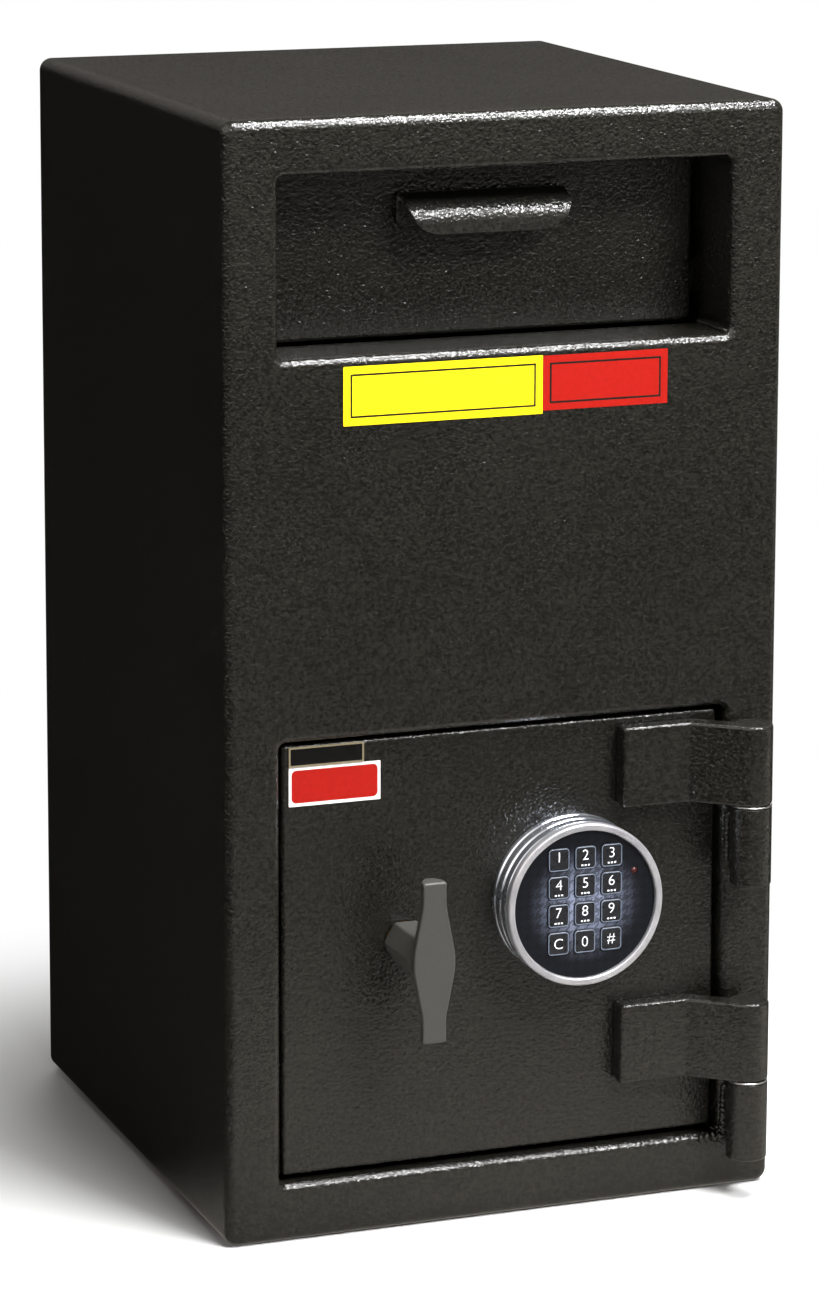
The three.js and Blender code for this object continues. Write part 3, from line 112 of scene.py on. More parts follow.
class Finish:
    """A material made of nodes. Numbers go straight onto sockets, and Values are linked to them."""

    def __init__(self, name, tree=None, **constants):
        if tree is None:
            self.material = bpy.data.materials.new(name)
            self.material.use_nodes = True
            tree = self.material.node_tree
        self.tree = tree
        self.shader = tree.nodes.get("Principled BSDF")
        for socket, value in constants.items():
            self.set(socket.replace("_", " "), value)

    def set(self, socket, value):
        self.join(value, self.shader.inputs[socket])
        return self

    def join(self, value, socket):
        if isinstance(value, Value):
            self.tree.links.new(value.socket, socket)
        else:
            socket.default_value = value

    def node(self, kind, settings=None, values=None, output=0):
        added = self.tree.nodes.new(kind)
        for key, value in (settings or {}).items():
            setattr(added, key, value)
        for key, value in (values or {}).items():
            self.join(value, added.inputs[key])
        return Value(self, added.outputs[output])

    def place(self):
        return self.node("ShaderNodeTexCoord", output="Object")

    def part(self, vector, axis):
        """One part of a vector: 0 for x, 1 for y and 2 for z."""
        return self.node("ShaderNodeSeparateXYZ", {}, {0: vector}, axis)

    def reach(self, vector, direction):
        """How far a vector reaches in a direction."""
        settings = {"operation": "DOT_PRODUCT"}
        return self.node("ShaderNodeVectorMath", settings, {0: vector, 1: direction}, "Value")

    def length(self, vector):
        return self.node("ShaderNodeVectorMath", {"operation": "LENGTH"}, {0: vector}, "Value")

    def ray(self, kind):
        """1 for rays of a kind, Camera or Glossy, and 0 for all others."""
        return self.node("ShaderNodeLightPath", output=f"Is {kind} Ray")

    def noise(self, scale, detail=2.0, roughness=0.5, distortion=0.0, place=None):
        values = {"Scale": scale, "Detail": detail, "Roughness": roughness, "Distortion": distortion}
        values["Vector"] = place or self.place()
        return self.node("ShaderNodeTexNoise", {}, values)

    def blend(self, share, first, second):
        """first where share is 0 and second where it is 1, for colours."""
        return self.node("ShaderNodeMix", {"data_type": "RGBA"}, {0: share, 6: first, 7: second}, output=2)

    def mixed(self, share, first, second):
        """first where share is 0 and second where it is 1, for shaders."""
        return self.node("ShaderNodeMixShader", {}, {0: share, 1: first, 2: second})

    def relief(self, height, depth):
        """Height, from 0 to 1, as a bump of the given depth in metres."""
        bump = self.node("ShaderNodeBump", {}, {"Strength": 1.0, "Distance": depth, "Height": height})
        return self.set("Normal", bump)


def shade(red, green, blue):
    """A screen colour, 0 to 255 for each part, as the light values that a shader takes."""
    part = np.array([red, green, blue]) / 255
    light = np.where(part <= 0.04045, part / 12.92, ((part + 0.055) / 1.055) ** 2.4)
    return (*light.tolist(), 1.0)


# The studio: a pale floor, large soft lamps overhead, in front and low behind, and weak ones right and left.
# Away from the safe the camera sees the floor as white. In reflections it glows a little, in front and behind.
warm_floor, warm_sky, white = (1.0, 0.94, 0.84, 1), (1.0, 0.94, 0.86, 1), (1, 1, 1, 1)
floor_half, floor_drop = 9.0, 0.0005
floor_corners = [(x * floor_half, y * floor_half, 0) for x, y in ((-1, -1), (1, -1), (1, 1), (-1, 1))]
floor_mesh = bpy.data.meshes.new("studio_floor")
floor_mesh.from_pydata(floor_corners, [], [(0, 1, 2, 3)])
floor = bpy.data.objects.new("studio_floor", floor_mesh)
floor.location = (0, 0, -floor_drop)
bpy.context.scene.collection.objects.link(floor)
paper = Finish("floor_paper", Base_Color=(0.80, 0.80, 0.80, 1), Roughness=0.9, Specular_IOR_Level=0.1)
floor_place = paper.place()
floor_x, floor_y = paper.part(floor_place, 0), paper.part(floor_place, 1)
floor_away = paper.length(floor_place).within(0.2, 0.54)
floor_near = floor_y.within(-1.9, -0.7) * (1 - floor_y.within(-0.30, 0.0)) * floor_x.within(-0.45, 0.0)
floor_back = floor_y.within(0.2, 0.8) * floor_x.within(-0.2, 0.3)
floor_gleam = 0.015 + floor_near * (0.29 + 0.6 * floor_y.within(-0.8, -0.35)) + floor_back * 0.24
floor_glow = paper.node("ShaderNodeEmission", {}, {"Color": warm_floor, "Strength": floor_gleam})
floor_white = paper.node("ShaderNodeEmission", {}, {"Color": white, "Strength": 1.0})
floor_lit = paper.mixed(paper.ray("Glossy"), Value(paper, paper.shader.outputs[0]), floor_glow)
floor_seen = paper.mixed(paper.ray("Camera") * floor_away, floor_lit, floor_white)
paper.join(floor_seen, paper.tree.nodes["Material Output"].inputs[0])
floor_mesh.materials.append(paper.material)

# The background: white for the camera and dim for reflections, which keeps the black paint deep.
world = bpy.data.worlds.new("studio")
world.use_nodes = True
bpy.context.scene.world = world
sky = Finish("studio", tree=world.node_tree)
seen, mirrored = sky.ray("Camera"), sky.ray("Glossy")
heading = sky.node("ShaderNodeTexCoord", output="Generated")
height = sky.part(heading, 2)
toward = sky.reach(heading, (-0.3, -0.95, 0.1))
leftward = sky.reach(heading, (-0.95, -0.25, 0.15))
front_and_high = 0.55 * toward.within(0.0, 0.85) + 0.24 * height.within(0.0, 0.3)
left_wall = 1.3 * leftward.within(0.35, 0.9) * height.within(0.02, 0.3)
strength = seen + (1 - seen) * (mirrored * (0.02 + front_and_high + left_wall) + (1 - mirrored) * 0.10)
background = world.node_tree.nodes["Background"]
sky.join(sky.blend(seen, warm_sky, white), background.inputs["Color"])
sky.join(strength, background.inputs["Strength"])


def soft_lamp(name, place, aim, width, height, power):
    """A rectangular lamp at place that faces aim."""
    data = bpy.data.lights.new(name, "AREA")
    data.shape, data.size, data.size_y, data.energy = "RECTANGLE", width, height, power
    lamp = bpy.data.objects.new(name, data)
    lamp.location = place
    lamp.rotation_euler = (Vector(aim) - Vector(place)).to_track_quat("-Z", "Y").to_euler()
    bpy.context.scene.collection.objects.link(lamp)


soft_lamp("lamp_over", (0.45, -0.75, 2.4), (0, -0.1, 0.3), 1.5, 0.6, 95)
soft_lamp("lamp_front", (0.87, -1.96, 2.10), (0, -0.16, 0.60), 1.0, 0.6, 84)
soft_lamp("lamp_right", (1.3, -2.2, 1.35), (0, -0.19, 0.30), 1.2, 0.3, 3.5)
soft_lamp("lamp_left", (-2.4, -0.9, 0.9), (0, 0, 0.35), 0.3, 1.6, 0.6)
soft_lamp("lamp_back", (0.8, 2.3, 0.32), (0, 0, 0.32), 1.2, 0.4, 36)

# Shapes are worked out in millimetres, as loops of points and as surfaces: points with the faces between them.


def directions(angle):
    """Flat vectors of length 1 at the given angles, in radians."""
    return np.stack([np.cos(angle), np.sin(angle)], 1)


def unit(vectors):
    """Rows of vectors, each brought to length 1."""
    return vectors / np.linalg.norm(vectors, axis=1, keepdims=True)


def bend(centre, radius, start, end, steps=6):
    """Points of a round bend in a profile, from one angle to another, in degrees."""
    angle = np.radians(np.linspace(start, end, steps + 1))
    return (np.asarray(centre, float) + radius * directions(angle)).tolist()


def corner_loss(distance, radius):
    """How far a round corner has drawn a side in, at a distance from its end."""
    gone = np.clip(radius - distance, 0, radius)
    return radius - np.sqrt(radius**2 - gone**2)


def oblong(x0, x1, y0, y1):
    """The corners of a flat rectangle."""
    return [(x0, y0), (x1, y0), (x1, y1), (x0, y1)]


def rounded(points, radius, steps=5, closed=True):
    """A polygon, or an open line, with each corner replaced by an arc that touches both of its sides."""
    p = np.asarray(points, float)
    r = np.broadcast_to(np.asarray(radius, float), len(p))[:, None]
    u, v = unit(np.roll(p, 1, 0) - p), unit(np.roll(p, -1, 0) - p)
    half = np.arccos(np.clip((u * v).sum(1, keepdims=True), -1, 1)) / 2
    centre = p + unit(u + v) * r / np.sin(half)
    a, b = p + u * r / np.tan(half) - centre, p + v * r / np.tan(half) - centre
    sweep = (math.pi - 2 * half)[:, :, None]
    t = np.linspace(0, 1, steps + 1)[None, :, None]
    spokes = (np.sin((1 - t) * sweep) * a[:, None] + np.sin(t * sweep) * b[:, None]) / np.sin(sweep)
    arc = centre[:, None] + spokes
    if closed:
        return arc.reshape(-1, 2)
    return np.concatenate([p[:1], arc[1:-1].reshape(-1, 2), p[-1:]])


def placed(ring, level, axis="y"):
    """A flat ring set into space: upright at a depth for axis y, or level at a height for axis z."""
    ring = np.asarray(ring, float)
    flat = np.full(len(ring), float(level))
    return np.stack((ring[:, 0], flat, ring[:, 1]) if axis == "y" else (ring[:, 0], ring[:, 1], flat), 1)


def mouth(half, low, high, corner, y, steps=8):
    """An upright rounded rectangle at depth y: a quarter circle at each corner, joined by straight lines."""
    quarter = np.linspace(0, 1, steps + 1)[None, :] + np.arange(4)[:, None]
    centre_x = np.array([1, -1, -1, 1])[:, None] * (half - corner)
    centre_z = np.array([high - corner, high - corner, low + corner, low + corner])[:, None]
    x = centre_x + corner * np.cos(quarter * math.pi / 2)
    z = centre_z + corner * np.sin(quarter * math.pi / 2)
    return placed(np.stack([x.ravel(), z.ravel()], 1), y)


def carried_round(profile, half, low, high, corner):
    """A profile of (inset, depth) pairs carried round a rounded rectangle, one loop for each pair."""
    least_corner = 0.2
    return [mouth(half - i, low + i, high - i, max(corner - i, least_corner), y) for i, y in profile]


def skinned(loops):
    """Four-sided faces between neighbouring loops of equal count."""
    loops = np.asarray(loops, float)
    rows, count = loops.shape[:2]
    index = np.arange(rows * count).reshape(rows, count)
    beside = np.roll(index, -1, 1)
    faces = np.stack([index[:-1], beside[:-1], beside[1:], index[1:]], -1)
    return loops.reshape(-1, 3), faces.reshape(-1, 4).tolist()


def capped(loop):
    """One flat face that fills a loop."""
    return np.asarray(loop, float), [list(range(len(loop)))]


def pierced(outer, *holes):
    """A flat face with holes, cut into triangles between the loops."""
    loops = [np.asarray(loop, float) for loop in (outer, *holes)]
    faces = tessellate_polygon([[Vector(p) for p in loop] for loop in loops])
    return np.concatenate(loops), [list(face) for face in faces]


def solid(loops):
    """A skin over loops, with a flat face at each end."""
    return [skinned(loops), capped(loops[0]), capped(loops[-1])]


def pushed(outline, low, high, axis="y"):
    """A flat outline pushed from one place to another along an axis, closed at both ends."""
    return solid([placed(outline, low, axis), placed(outline, high, axis)])


def eased(outline, low, high, ease, steps=5):
    """An upright prism with rounded ends: near each end its outline is drawn in along its own normals,
    by a quarter circle of the given radius."""
    after = unit(np.roll(outline, -1, 0) - outline)
    run = unit(after + np.roll(after, 1, 0))
    x, y = outline.T
    swept = (x * np.roll(y, -1) - y * np.roll(x, -1)).sum()
    inward = np.stack([-run[:, 1], run[:, 0]], 1) * np.sign(swept)
    quarter = [(ease * (1 - math.sin(a)), ease * (1 - math.cos(a))) for a in np.linspace(0, math.pi / 2, steps)]
    places = [(low + gap, drawn) for gap, drawn in quarter[::-1]]
    places += [(high - gap, drawn) for gap, drawn in quarter]
    return solid([placed(outline + inward * drawn, level, "z") for level, drawn in places])


def turned(profile, centre, axis="z", sides=72):
    """A profile of (radius, height) pairs turned round an axis through centre. It starts and ends on the axis,
    or comes back to its start."""
    profile = np.asarray(profile, float)
    angle = np.linspace(0, 2 * math.pi, sides, endpoint=False)
    across = profile[:, :1] * np.cos(angle)[None, :]
    along = profile[:, :1] * np.sin(angle)[None, :]
    level = np.repeat(profile[:, 1:], sides, 1)
    order = {"x": (level, across, along), "y": (across, level, along), "z": (across, along, level)}[axis]
    return skinned(np.stack(order, -1) + np.asarray(centre, float))


def bead(path, radius, ripple=1.6, swell=0.22, sides=14):
    """A tube along a path whose radius swells and shrinks once in each ripple's length.
    It closes to a point at both ends."""
    path = np.asarray(path, float)
    step = np.concatenate([[0], np.cumsum(np.linalg.norm(np.diff(path, axis=0), axis=1))])
    rings_in_ripple, fewest_rings = 7, 12
    count = max(int(step[-1] / ripple * rings_in_ripple), fewest_rings)
    s = np.linspace(0, step[-1], count)
    centre = np.stack([np.interp(s, step, path[:, k]) for k in range(3)], 1)
    tangent = unit(np.gradient(centre, axis=0))
    up = np.where(np.abs(tangent[:, 2:3]) > 0.9, [[1.0, 0, 0]], [[0, 0, 1.0]])
    side = unit(np.cross(tangent, up))
    other = np.cross(tangent, side)
    phase = s / ripple * math.pi
    wave = 1 - swell + swell * np.abs(np.sin(phase)) + 0.10 * np.sin(phase * 0.37 + centre[:, 2])
    reach = wave * (radius - corner_loss(np.minimum(s, s[-1] - s), radius))
    angle = np.linspace(0, 2 * math.pi, sides, endpoint=False)[None, :, None]
    spokes = np.cos(angle) * side[:, None] + np.sin(angle) * other[:, None]
    return skinned(centre[:, None] + reach[:, None, None] * spokes)


def welded(name, surfaces):
    """An object of surfaces in millimetres, welded where they meet into one closed mesh in metres."""
    mesh = bpy.data.meshes.new(name)
    points = np.concatenate([p for p, _ in surfaces]) * MM
    starts = np.cumsum([0] + [len(p) for p, _ in surfaces[:-1]])
    faces = [[i + int(start) for i in face] for start, (_, group) in zip(starts, surfaces) for face in group]
    mesh.from_pydata(points.tolist(), [], faces)
    shell = bmesh.new()
    shell.from_mesh(mesh)
    bmesh.ops.remove_doubles(shell, verts=shell.verts, dist=2e-6)
    bmesh.ops.dissolve_degenerate(shell, edges=shell.edges, dist=1e-6)
    bmesh.ops.recalc_face_normals(shell, faces=shell.faces)
    shell.to_mesh(mesh)
    shell.free()
    piece = bpy.data.objects.new(name, mesh)
    bpy.context.scene.collection.objects.link(piece)
    return piece


def made(name, surfaces, finish, body, stands_for=(), sharp=40):
    """A welded piece that rides on a body. Edges steeper than sharp stay crisp, and flat faces look flat."""
    piece = welded(name, surfaces)
    piece.data.shade_smooth()
    piece.data.set_sharp_from_angle(angle=math.radians(sharp))
    piece.modifiers.new("flat_faces", "WEIGHTED_NORMAL").keep_sharp = True
    piece.data.materials.append(finish.material)
    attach(piece, body)
    if stands_for:
        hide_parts(*stands_for)
    return piece


def final_mesh(thing):
    """A new mesh of an object as it stands, with its modifiers in it."""
    return bpy.data.meshes.new_from_object(thing.evaluated_get(bpy.context.evaluated_depsgraph_get()))


def without(piece, *tools):
    """Cuts tools out of a piece for good, and removes them."""
    for tool in tools:
        cut = piece.modifiers.new("cut", "BOOLEAN")
        cut.operation, cut.solver, cut.object = "DIFFERENCE", "EXACT", tool
        piece.modifiers.move(len(piece.modifiers) - 1, 0)
    shape = final_mesh(piece)
    piece.modifiers.clear()
    piece.data = shape
    for tool in tools:
        bpy.data.objects.remove(tool)


def powder_coat(name, colour, deep, gloss=0.09, depth=0.00051):
    """Black paint baked from powder: a leathery, half glossy skin of soft bumps a millimetre or two across."""
    coat = Finish(name)
    place = coat.place()
    skin = coat.noise(500, 1.0, 0.5, 0.5, place)
    pebble = coat.noise(430, 1.0, 0.5, 0.3, place)
    cloud = coat.noise(9, 3.0, 0.6, 0.0, place)
    # The colour turns to the deep shade in a fine pebble pattern. This is painted shade in the hollows of the
    # bumps, mixed with a soft random drift of tone.
    pebble_shade_and_tone = (cloud * 0.25 + pebble * 0.75).within(0.36, 0.64)
    coat.set("Base Color", coat.blend(pebble_shade_and_tone, shade(*deep), shade(*colour)))
    coat.set("Roughness", gloss + 0.04 * cloud + 0.07 * (1 - skin))
    return coat.relief(skin, depth)


def clouded(name, noise, dark, pale, roughness, edges=None, grain=None, depth=0.0, **constants):
    """A finish that drifts with a noise, from a dark shade to a pale one and from the first roughness up by the
    second. With edges, the shade turns between those two levels of the noise. Grain is a second noise, used as
    a relief of the given depth."""
    finish = Finish(name, **constants)
    cloud = finish.noise(*noise)
    share = cloud.within(*edges) if edges else cloud
    finish.set("Base Color", finish.blend(share, shade(*dark), shade(*pale)))
    finish.set("Roughness", roughness[0] + roughness[1] * cloud)
    if grain:
        finish.relief(finish.noise(*grain), depth)
    return finish


def finished(finish, *names):
    """Gives CAD nodes that keep their own shape a finish."""
    for name in names:
        for place in node[name].material_slots:
            place.material = finish.material


soft_edges, firm_edges = (0.3, 0.7), (0.35, 0.65)
black_coat = powder_coat("black_powder_coat", (31, 30, 26), (18, 18, 15))

# Body of 3.4 mm steel sheet, bent round in one wrapper, with the front pressed from a second sheet.
# The joints are welded and ground flush, so the body reads as one skin with rolled edges.
# A mouth is given by its half width, its lower edge and its upper edge.
body_half, body_height = 180.0, 686.0
body_front, body_back = -190.0, 190.0
body_sheet = 3.4
body_edge, body_back_edge, body_corner = 6.0, 3.0, 8.0
opening_roll, opening_corner = 5.0, 4.5
drawer_mouth, drawer_flange = (145.5, 543.4, 652.0), 48.0
door_mouth, door_flange = (145.0, 36.0, 311.2), 24.0
lip_ease = 0.6
anchor_radius, anchor_x, anchor_y = 7.0, 130, 120
anchor_low, anchor_high = -5, 9
outer_profile = bend((body_back_edge, body_back - body_back_edge), body_back_edge, 90, 180)
outer_profile += bend((body_edge, body_front + body_edge), body_edge, 180, 270)
outer_skin = carried_round(outer_profile, body_half, 0, body_height, body_corner)
inner_profile = [(body_sheet, body_back - body_sheet)]
inner_profile += bend((body_edge, body_front + body_edge), body_edge - body_sheet, 180, 270)
inner_skin = carried_round(inner_profile, body_half, 0, body_height, body_corner)
front_holes, inner_holes, flanges = [], [], []
for (half, low, high), flange in ((drawer_mouth, drawer_flange), (door_mouth, door_flange)):
    roll_centre, flange_end = (-opening_roll, body_front + opening_roll), body_front + flange
    profile = bend(roll_centre, opening_roll, -90, 0)
    profile += [(0.0, flange_end - lip_ease), (-lip_ease, flange_end)]
    profile += [(lip_ease - body_sheet, flange_end), (-body_sheet, flange_end - lip_ease)]
    profile += bend(roll_centre, opening_roll - body_sheet, 0, -90)
    loops = carried_round(profile, half, low, high, opening_corner)
    front_holes.append(loops[0])
    inner_holes.append(loops[-1])
    flanges.append(skinned(loops))
body_skin = made(
    "body_skin",
    [
        capped(outer_skin[0]),
        skinned(outer_skin),
        pierced(outer_skin[-1], *front_holes),
        *flanges,
        pierced(inner_skin[-1], *inner_holes),
        skinned(inner_skin),
        capped(inner_skin[0]),
    ],
    black_coat,
    "safe_body",
    ("front_frame", "body_wrapper", "back_panel"),
)
anchor_hole = [(0, anchor_low), (anchor_radius, anchor_low), (anchor_radius, anchor_high), (0, anchor_high)]
anchor_places = [(x, y, 0) for x in (-anchor_x, anchor_x) for y in (-anchor_y, anchor_y)]
without(body_skin, *[welded("anchor_tool", [turned(anchor_hole, place, "z", 48)]) for place in anchor_places])

# Floor plate, chute, guard and sleeve inside the body: cut and folded sheet, coated like the body.
inner_coat = powder_coat("inner_powder_coat", (34, 33, 29), (20, 20, 17), 0.26)
finished(inner_coat, "floor_plate", "chute_plate", "guard_plate")
finished(black_coat, "drawer_sleeve")

# Rails, cam plate and the drawer's runners: folded steel with a bright zinc plating.
zinc_plate = clouded(
    "zinc_plate",
    (60, 4.0, 0.65, 0.3),
    (170, 168, 158),
    (205, 204, 196),
    (0.26, 0.16),
    edges=firm_edges,
    grain=(900,),
    depth=0.00002,
    Metallic=1.0,
)
finished(zinc_plate, "rail_left", "rail_right", "cam_plate", "runner_left", "runner_right")

# Door: a 12.7 mm steel plate with eased edges, coated like the body, bored for the handle's bush.
door_half, door_low, door_high = 142.3, 39.5, 308.8
door_front, door_back = -183.5, -170.8
door_corner, door_ease = 3.0, 2.6
handle_x, handle_z = -63.5, 180.5
bush_bore, bore_sides = 12.6, 48
door_profile = bend((door_ease, door_back - door_ease), door_ease, 90, 180)
door_profile += bend((door_ease, door_front + door_ease), door_ease, 180, 270)
door_loops = carried_round(door_profile, door_half, door_low, door_high, door_corner)
bore_angle = np.linspace(0, 2 * math.pi, bore_sides, endpoint=False)
bore_ring = bush_bore * directions(bore_angle) + [handle_x, handle_z]
bore = [placed(bore_ring, door_front), placed(bore_ring, door_back)]
made(
    "door_panel",
    [pierced(door_loops[0], bore[1]), skinned(door_loops), pierced(door_loops[-1], bore[0]), skinned(bore)],
    black_coat,
    "door",
    ("door_plate",),
)

# Hinge leaves: thick strap curled into a knuckle at one end, cranked, and welded to the door.
# The strap's front runs straight into the knuckle's round, and the coat eases its upper and lower edges.
hinge_x, hinge_y = 155.0, -210.0
knuckle = 12.7
leaf_end, leaf_fold = hinge_x - 80.0, hinge_x - 34.0
hinges = ((251.6, "upper"), (75.2, "lower"))
seam, leaf_height, barrel_height = 1.8, 50.6, 49.2
leaf_back, leaf_thick, leaf_ease = -183.8, 12.7, 1.9
touching, bend_steps = 0.01, 5
leaf_bends = [touching, 10, 2.0, 2.4, 3.0, touching]
leaf_front, strap_centre = leaf_back - leaf_thick, leaf_back - leaf_thick / 2
crank_x, crank_y = hinge_x - leaf_fold, hinge_y - strap_centre
crank_offset = knuckle - leaf_thick / 2
crank_lean = math.atan2(-crank_y, crank_x) + math.asin(crank_offset / math.hypot(crank_x, crank_y))
along = np.array([math.cos(crank_lean), -math.sin(crank_lean)])
outward = np.array([along[1], -along[0]])


def meets(level, side):
    """Where the strap's face at this level on the door meets the cranked face on the same side."""
    start = np.array([leaf_fold, strap_centre]) + outward * side * leaf_thick / 2
    return start + along * (level - start[1]) / along[1]


front_angle = math.atan2(outward[1], outward[0])
round_angle = np.linspace(front_angle, front_angle + 1.5 * math.pi, 40)
knuckle_round = knuckle * directions(round_angle) + [hinge_x, hinge_y]
leaf_corners = rounded(
    [
        knuckle_round[-1],
        meets(leaf_back, -1),
        [leaf_end, leaf_back],
        [leaf_end, leaf_front],
        meets(leaf_front, 1),
        knuckle_round[0],
    ],
    leaf_bends,
    bend_steps,
)
leaf_outline = np.concatenate([knuckle_round, leaf_corners[bend_steps + 1 : -bend_steps - 1]])
for level, name in hinges:
    made(
        f"leaf_{name}",
        eased(leaf_outline, level + seam, level + seam + leaf_height, leaf_ease),
        black_coat,
        "door",
        (f"hinge_leaf_{name}",),
        sharp=35,
    )

# Hinge barrels: round bar bored for a pin, held to the front frame by a foot with rough beads down its sides.
# A bright washer lies in the seam under each leaf.
# In a profile, a small round's first point stands before its bend, which goes on from this angle.
next_point = math.degrees(0.3)
pin_bore, pin_depth = 6.5, 40
barrel_ease, barrel_chamfer = 1.2, 0.5
washer_gap, washer_chamfer = 0.3, 0.3
for level, name in hinges:
    low = level - barrel_height
    barrel_side = [(0, low), (knuckle - barrel_ease, low)]
    barrel_side += bend((knuckle - barrel_ease, low + barrel_ease), barrel_ease, next_point - 90, 0, 3)
    barrel_side += [(knuckle, level - barrel_chamfer), (knuckle - barrel_chamfer, level)]
    barrel_side += [(pin_bore, level), (pin_bore, level - pin_depth), (0, level - pin_depth)]
    made(
        f"barrel_{name}",
        [turned(barrel_side, (hinge_x, hinge_y, 0))],
        black_coat,
        "safe_body",
        (f"hinge_barrel_{name}",),
        sharp=50,
    )
bare_steel = clouded(
    "bare_steel",
    (300, 3.0, 0.6, 0.2),
    (150, 150, 148),
    (200, 200, 198),
    (0.22, 0.2),
    edges=soft_edges,
    grain=(1500,),
    depth=0.00003,
    Metallic=1.0,
)
for level, name in hinges:
    low, high = level + washer_gap, level + seam - washer_gap
    washer = [(pin_bore, low), (knuckle - washer_chamfer, low), (knuckle, low + washer_chamfer)]
    washer += [(knuckle, high - washer_chamfer), (knuckle - washer_chamfer, high), (pin_bore, high), washer[0]]
    made(
        f"washer_{name}",
        [turned(washer, (hinge_x, hinge_y, 0))],
        bare_steel,
        "safe_body",
        (f"hinge_washer_{name}",),
        sharp=30,
    )
finished(bare_steel, "hinge_pin_upper", "hinge_pin_lower", "lock_pivot_pin")
finished(bare_steel, "crank_pin", "cam_roller", "baffle_rod")

# Weld beads: two down each side of the barrels' feet, a short one in three lower corners of the recesses, and
# a heavy one at the lower right corner of the door's opening. Each is a row of small ripples under the coat.
weld_coat = powder_coat("welded_powder_coat", (29, 28, 24), (19, 19, 16), 0.07)
foot_half, foot_height = 6.5, 30.0
foot_back, foot_front = body_front + 0.2, hinge_y + 5.5
foot_beads = ((body_front - 1.0, 2.6), (hinge_y + 11.5, 2.0))
bead_gap, bead_overrun = 0.8, 2
beads = []
for level, _ in hinges:
    middle = level - barrel_height / 2
    foot_low, foot_high = middle - foot_height / 2, middle + foot_height / 2
    foot = oblong(hinge_x - foot_half, hinge_x + foot_half, foot_back, foot_front)
    beads += pushed(foot, foot_low, foot_high, "z")
    for side in (-1, 1):
        x = hinge_x + side * (foot_half + bead_gap)
        for y, radius in foot_beads:
            heights = np.linspace(foot_low - bead_overrun, foot_high + bead_overrun, 8)
            beads.append(bead([(x, y, z) for z in heights], radius))
for x, near, far, z, radius in (
    (drawer_mouth[0] - 1.2, -186, -143, drawer_mouth[1] + 1.2, 1.6),
    (-drawer_mouth[0] + 1.0, -184, -143, drawer_mouth[1] + 1.0, 1.2),
    (door_mouth[0] - 0.6, -187, -168, door_mouth[1] + 0.4, 1.6),
):
    beads.append(bead([(x, y, z) for y in np.linspace(near, far, 8)], radius))
corner_path = [(131, -189.0, 33), (139, -189.6, 33.5), (145, -190.2, 35)]
corner_path += [(148.5, -190.6, 41), (149, -190.6, 54)]
beads.append(bead(corner_path, 3.6, ripple=4.2, swell=0.45))
made("weld_beads", beads, weld_coat, "safe_body")

# T-handle: a cast grip with a flat front and a rounded back, tapered from its middle, on a six-sided hub.
# It has a satin grey paint with a fine grain.
grip_face, grip_depth = -236.0, 12.0
grip_start, grip_flank, grip_ridge = 10.0, 5.5, 5.0
grip_half_height, grip_end, grip_waist, grip_ease = 50.0, 7.5, 13.25, 1.6
taper_from, taper_to, taper_blur = 5, 34.5, 3.5
grip_straight, grip_full = 45, 8.5
grip_bends = [1.1, 1.1, 4.0, 4.5, 4.5, 4.0]
grip_section = rounded(
    [
        (-grip_start, 0),
        (grip_start, 0),
        (grip_start, grip_flank),
        (grip_ridge, grip_depth),
        (-grip_ridge, grip_depth),
        (-grip_start, grip_flank),
    ],
    grip_bends,
    6,
)
section_x, section_y = grip_section.T
end_rise = grip_half_height - grip_ease * (1 - np.cos(np.linspace(math.pi / 2, 0, 6)))
rise = np.concatenate([-end_rise[::-1], np.linspace(-grip_straight, grip_straight, 91), end_rise])
inset = corner_loss(grip_half_height - np.abs(rise), grip_ease)
blurred = [rise + shift for shift in np.linspace(-taper_blur, taper_blur, 9)]
bow = np.mean([np.interp(np.abs(z), [taper_from, taper_to], [grip_waist, grip_end]) for z in blurred], axis=0)
swollen = (bow - grip_start - inset)[:, None] * np.clip(section_x / grip_full, -1, 1)[None, :]
grip_x = section_x[None, :] + swollen
grip_y = grip_depth / 2 + (section_y[None, :] - grip_depth / 2) * (1 - inset / grip_depth * 2)[:, None]
grip_z = np.repeat(rise[:, None], len(section_x), 1)
grip_loops = np.stack([grip_x + handle_x, grip_y + grip_face, grip_z + handle_z], -1)
hub_back, hub_front, hub_corner = door_front - 0.3, grip_face + grip_depth - 3, 2.2
hub_profile = [(12.2, hub_back), (13.7, hub_back - 0.6), (14.4, hub_back - 2.2), (14.5, hub_back - 5)]
hub_profile += [(14.0, -212), (13.2, hub_front), (12.6, hub_front - 1)]
hexagon = directions(np.radians(np.arange(6) * 60))
hub_rings = [rounded(hexagon * radius, hub_corner) + [handle_x, handle_z] for radius, _ in hub_profile]
hub_loops = [placed(ring, y) for ring, (_, y) in zip(hub_rings, hub_profile)]
handle_paint = clouded(
    "grey_handle_paint",
    (1500, 2.0, 0.6),
    (52, 52, 49),
    (68, 67, 63),
    (0.42, 0.12),
    edges=soft_edges,
    grain=(1100, 3.0, 0.6),
    depth=0.00006,
)
made("t_grip", solid(grip_loops), handle_paint, "handle", ("t_handle",), sharp=60)
made("t_hub", solid(hub_loops), handle_paint, "handle", sharp=60)

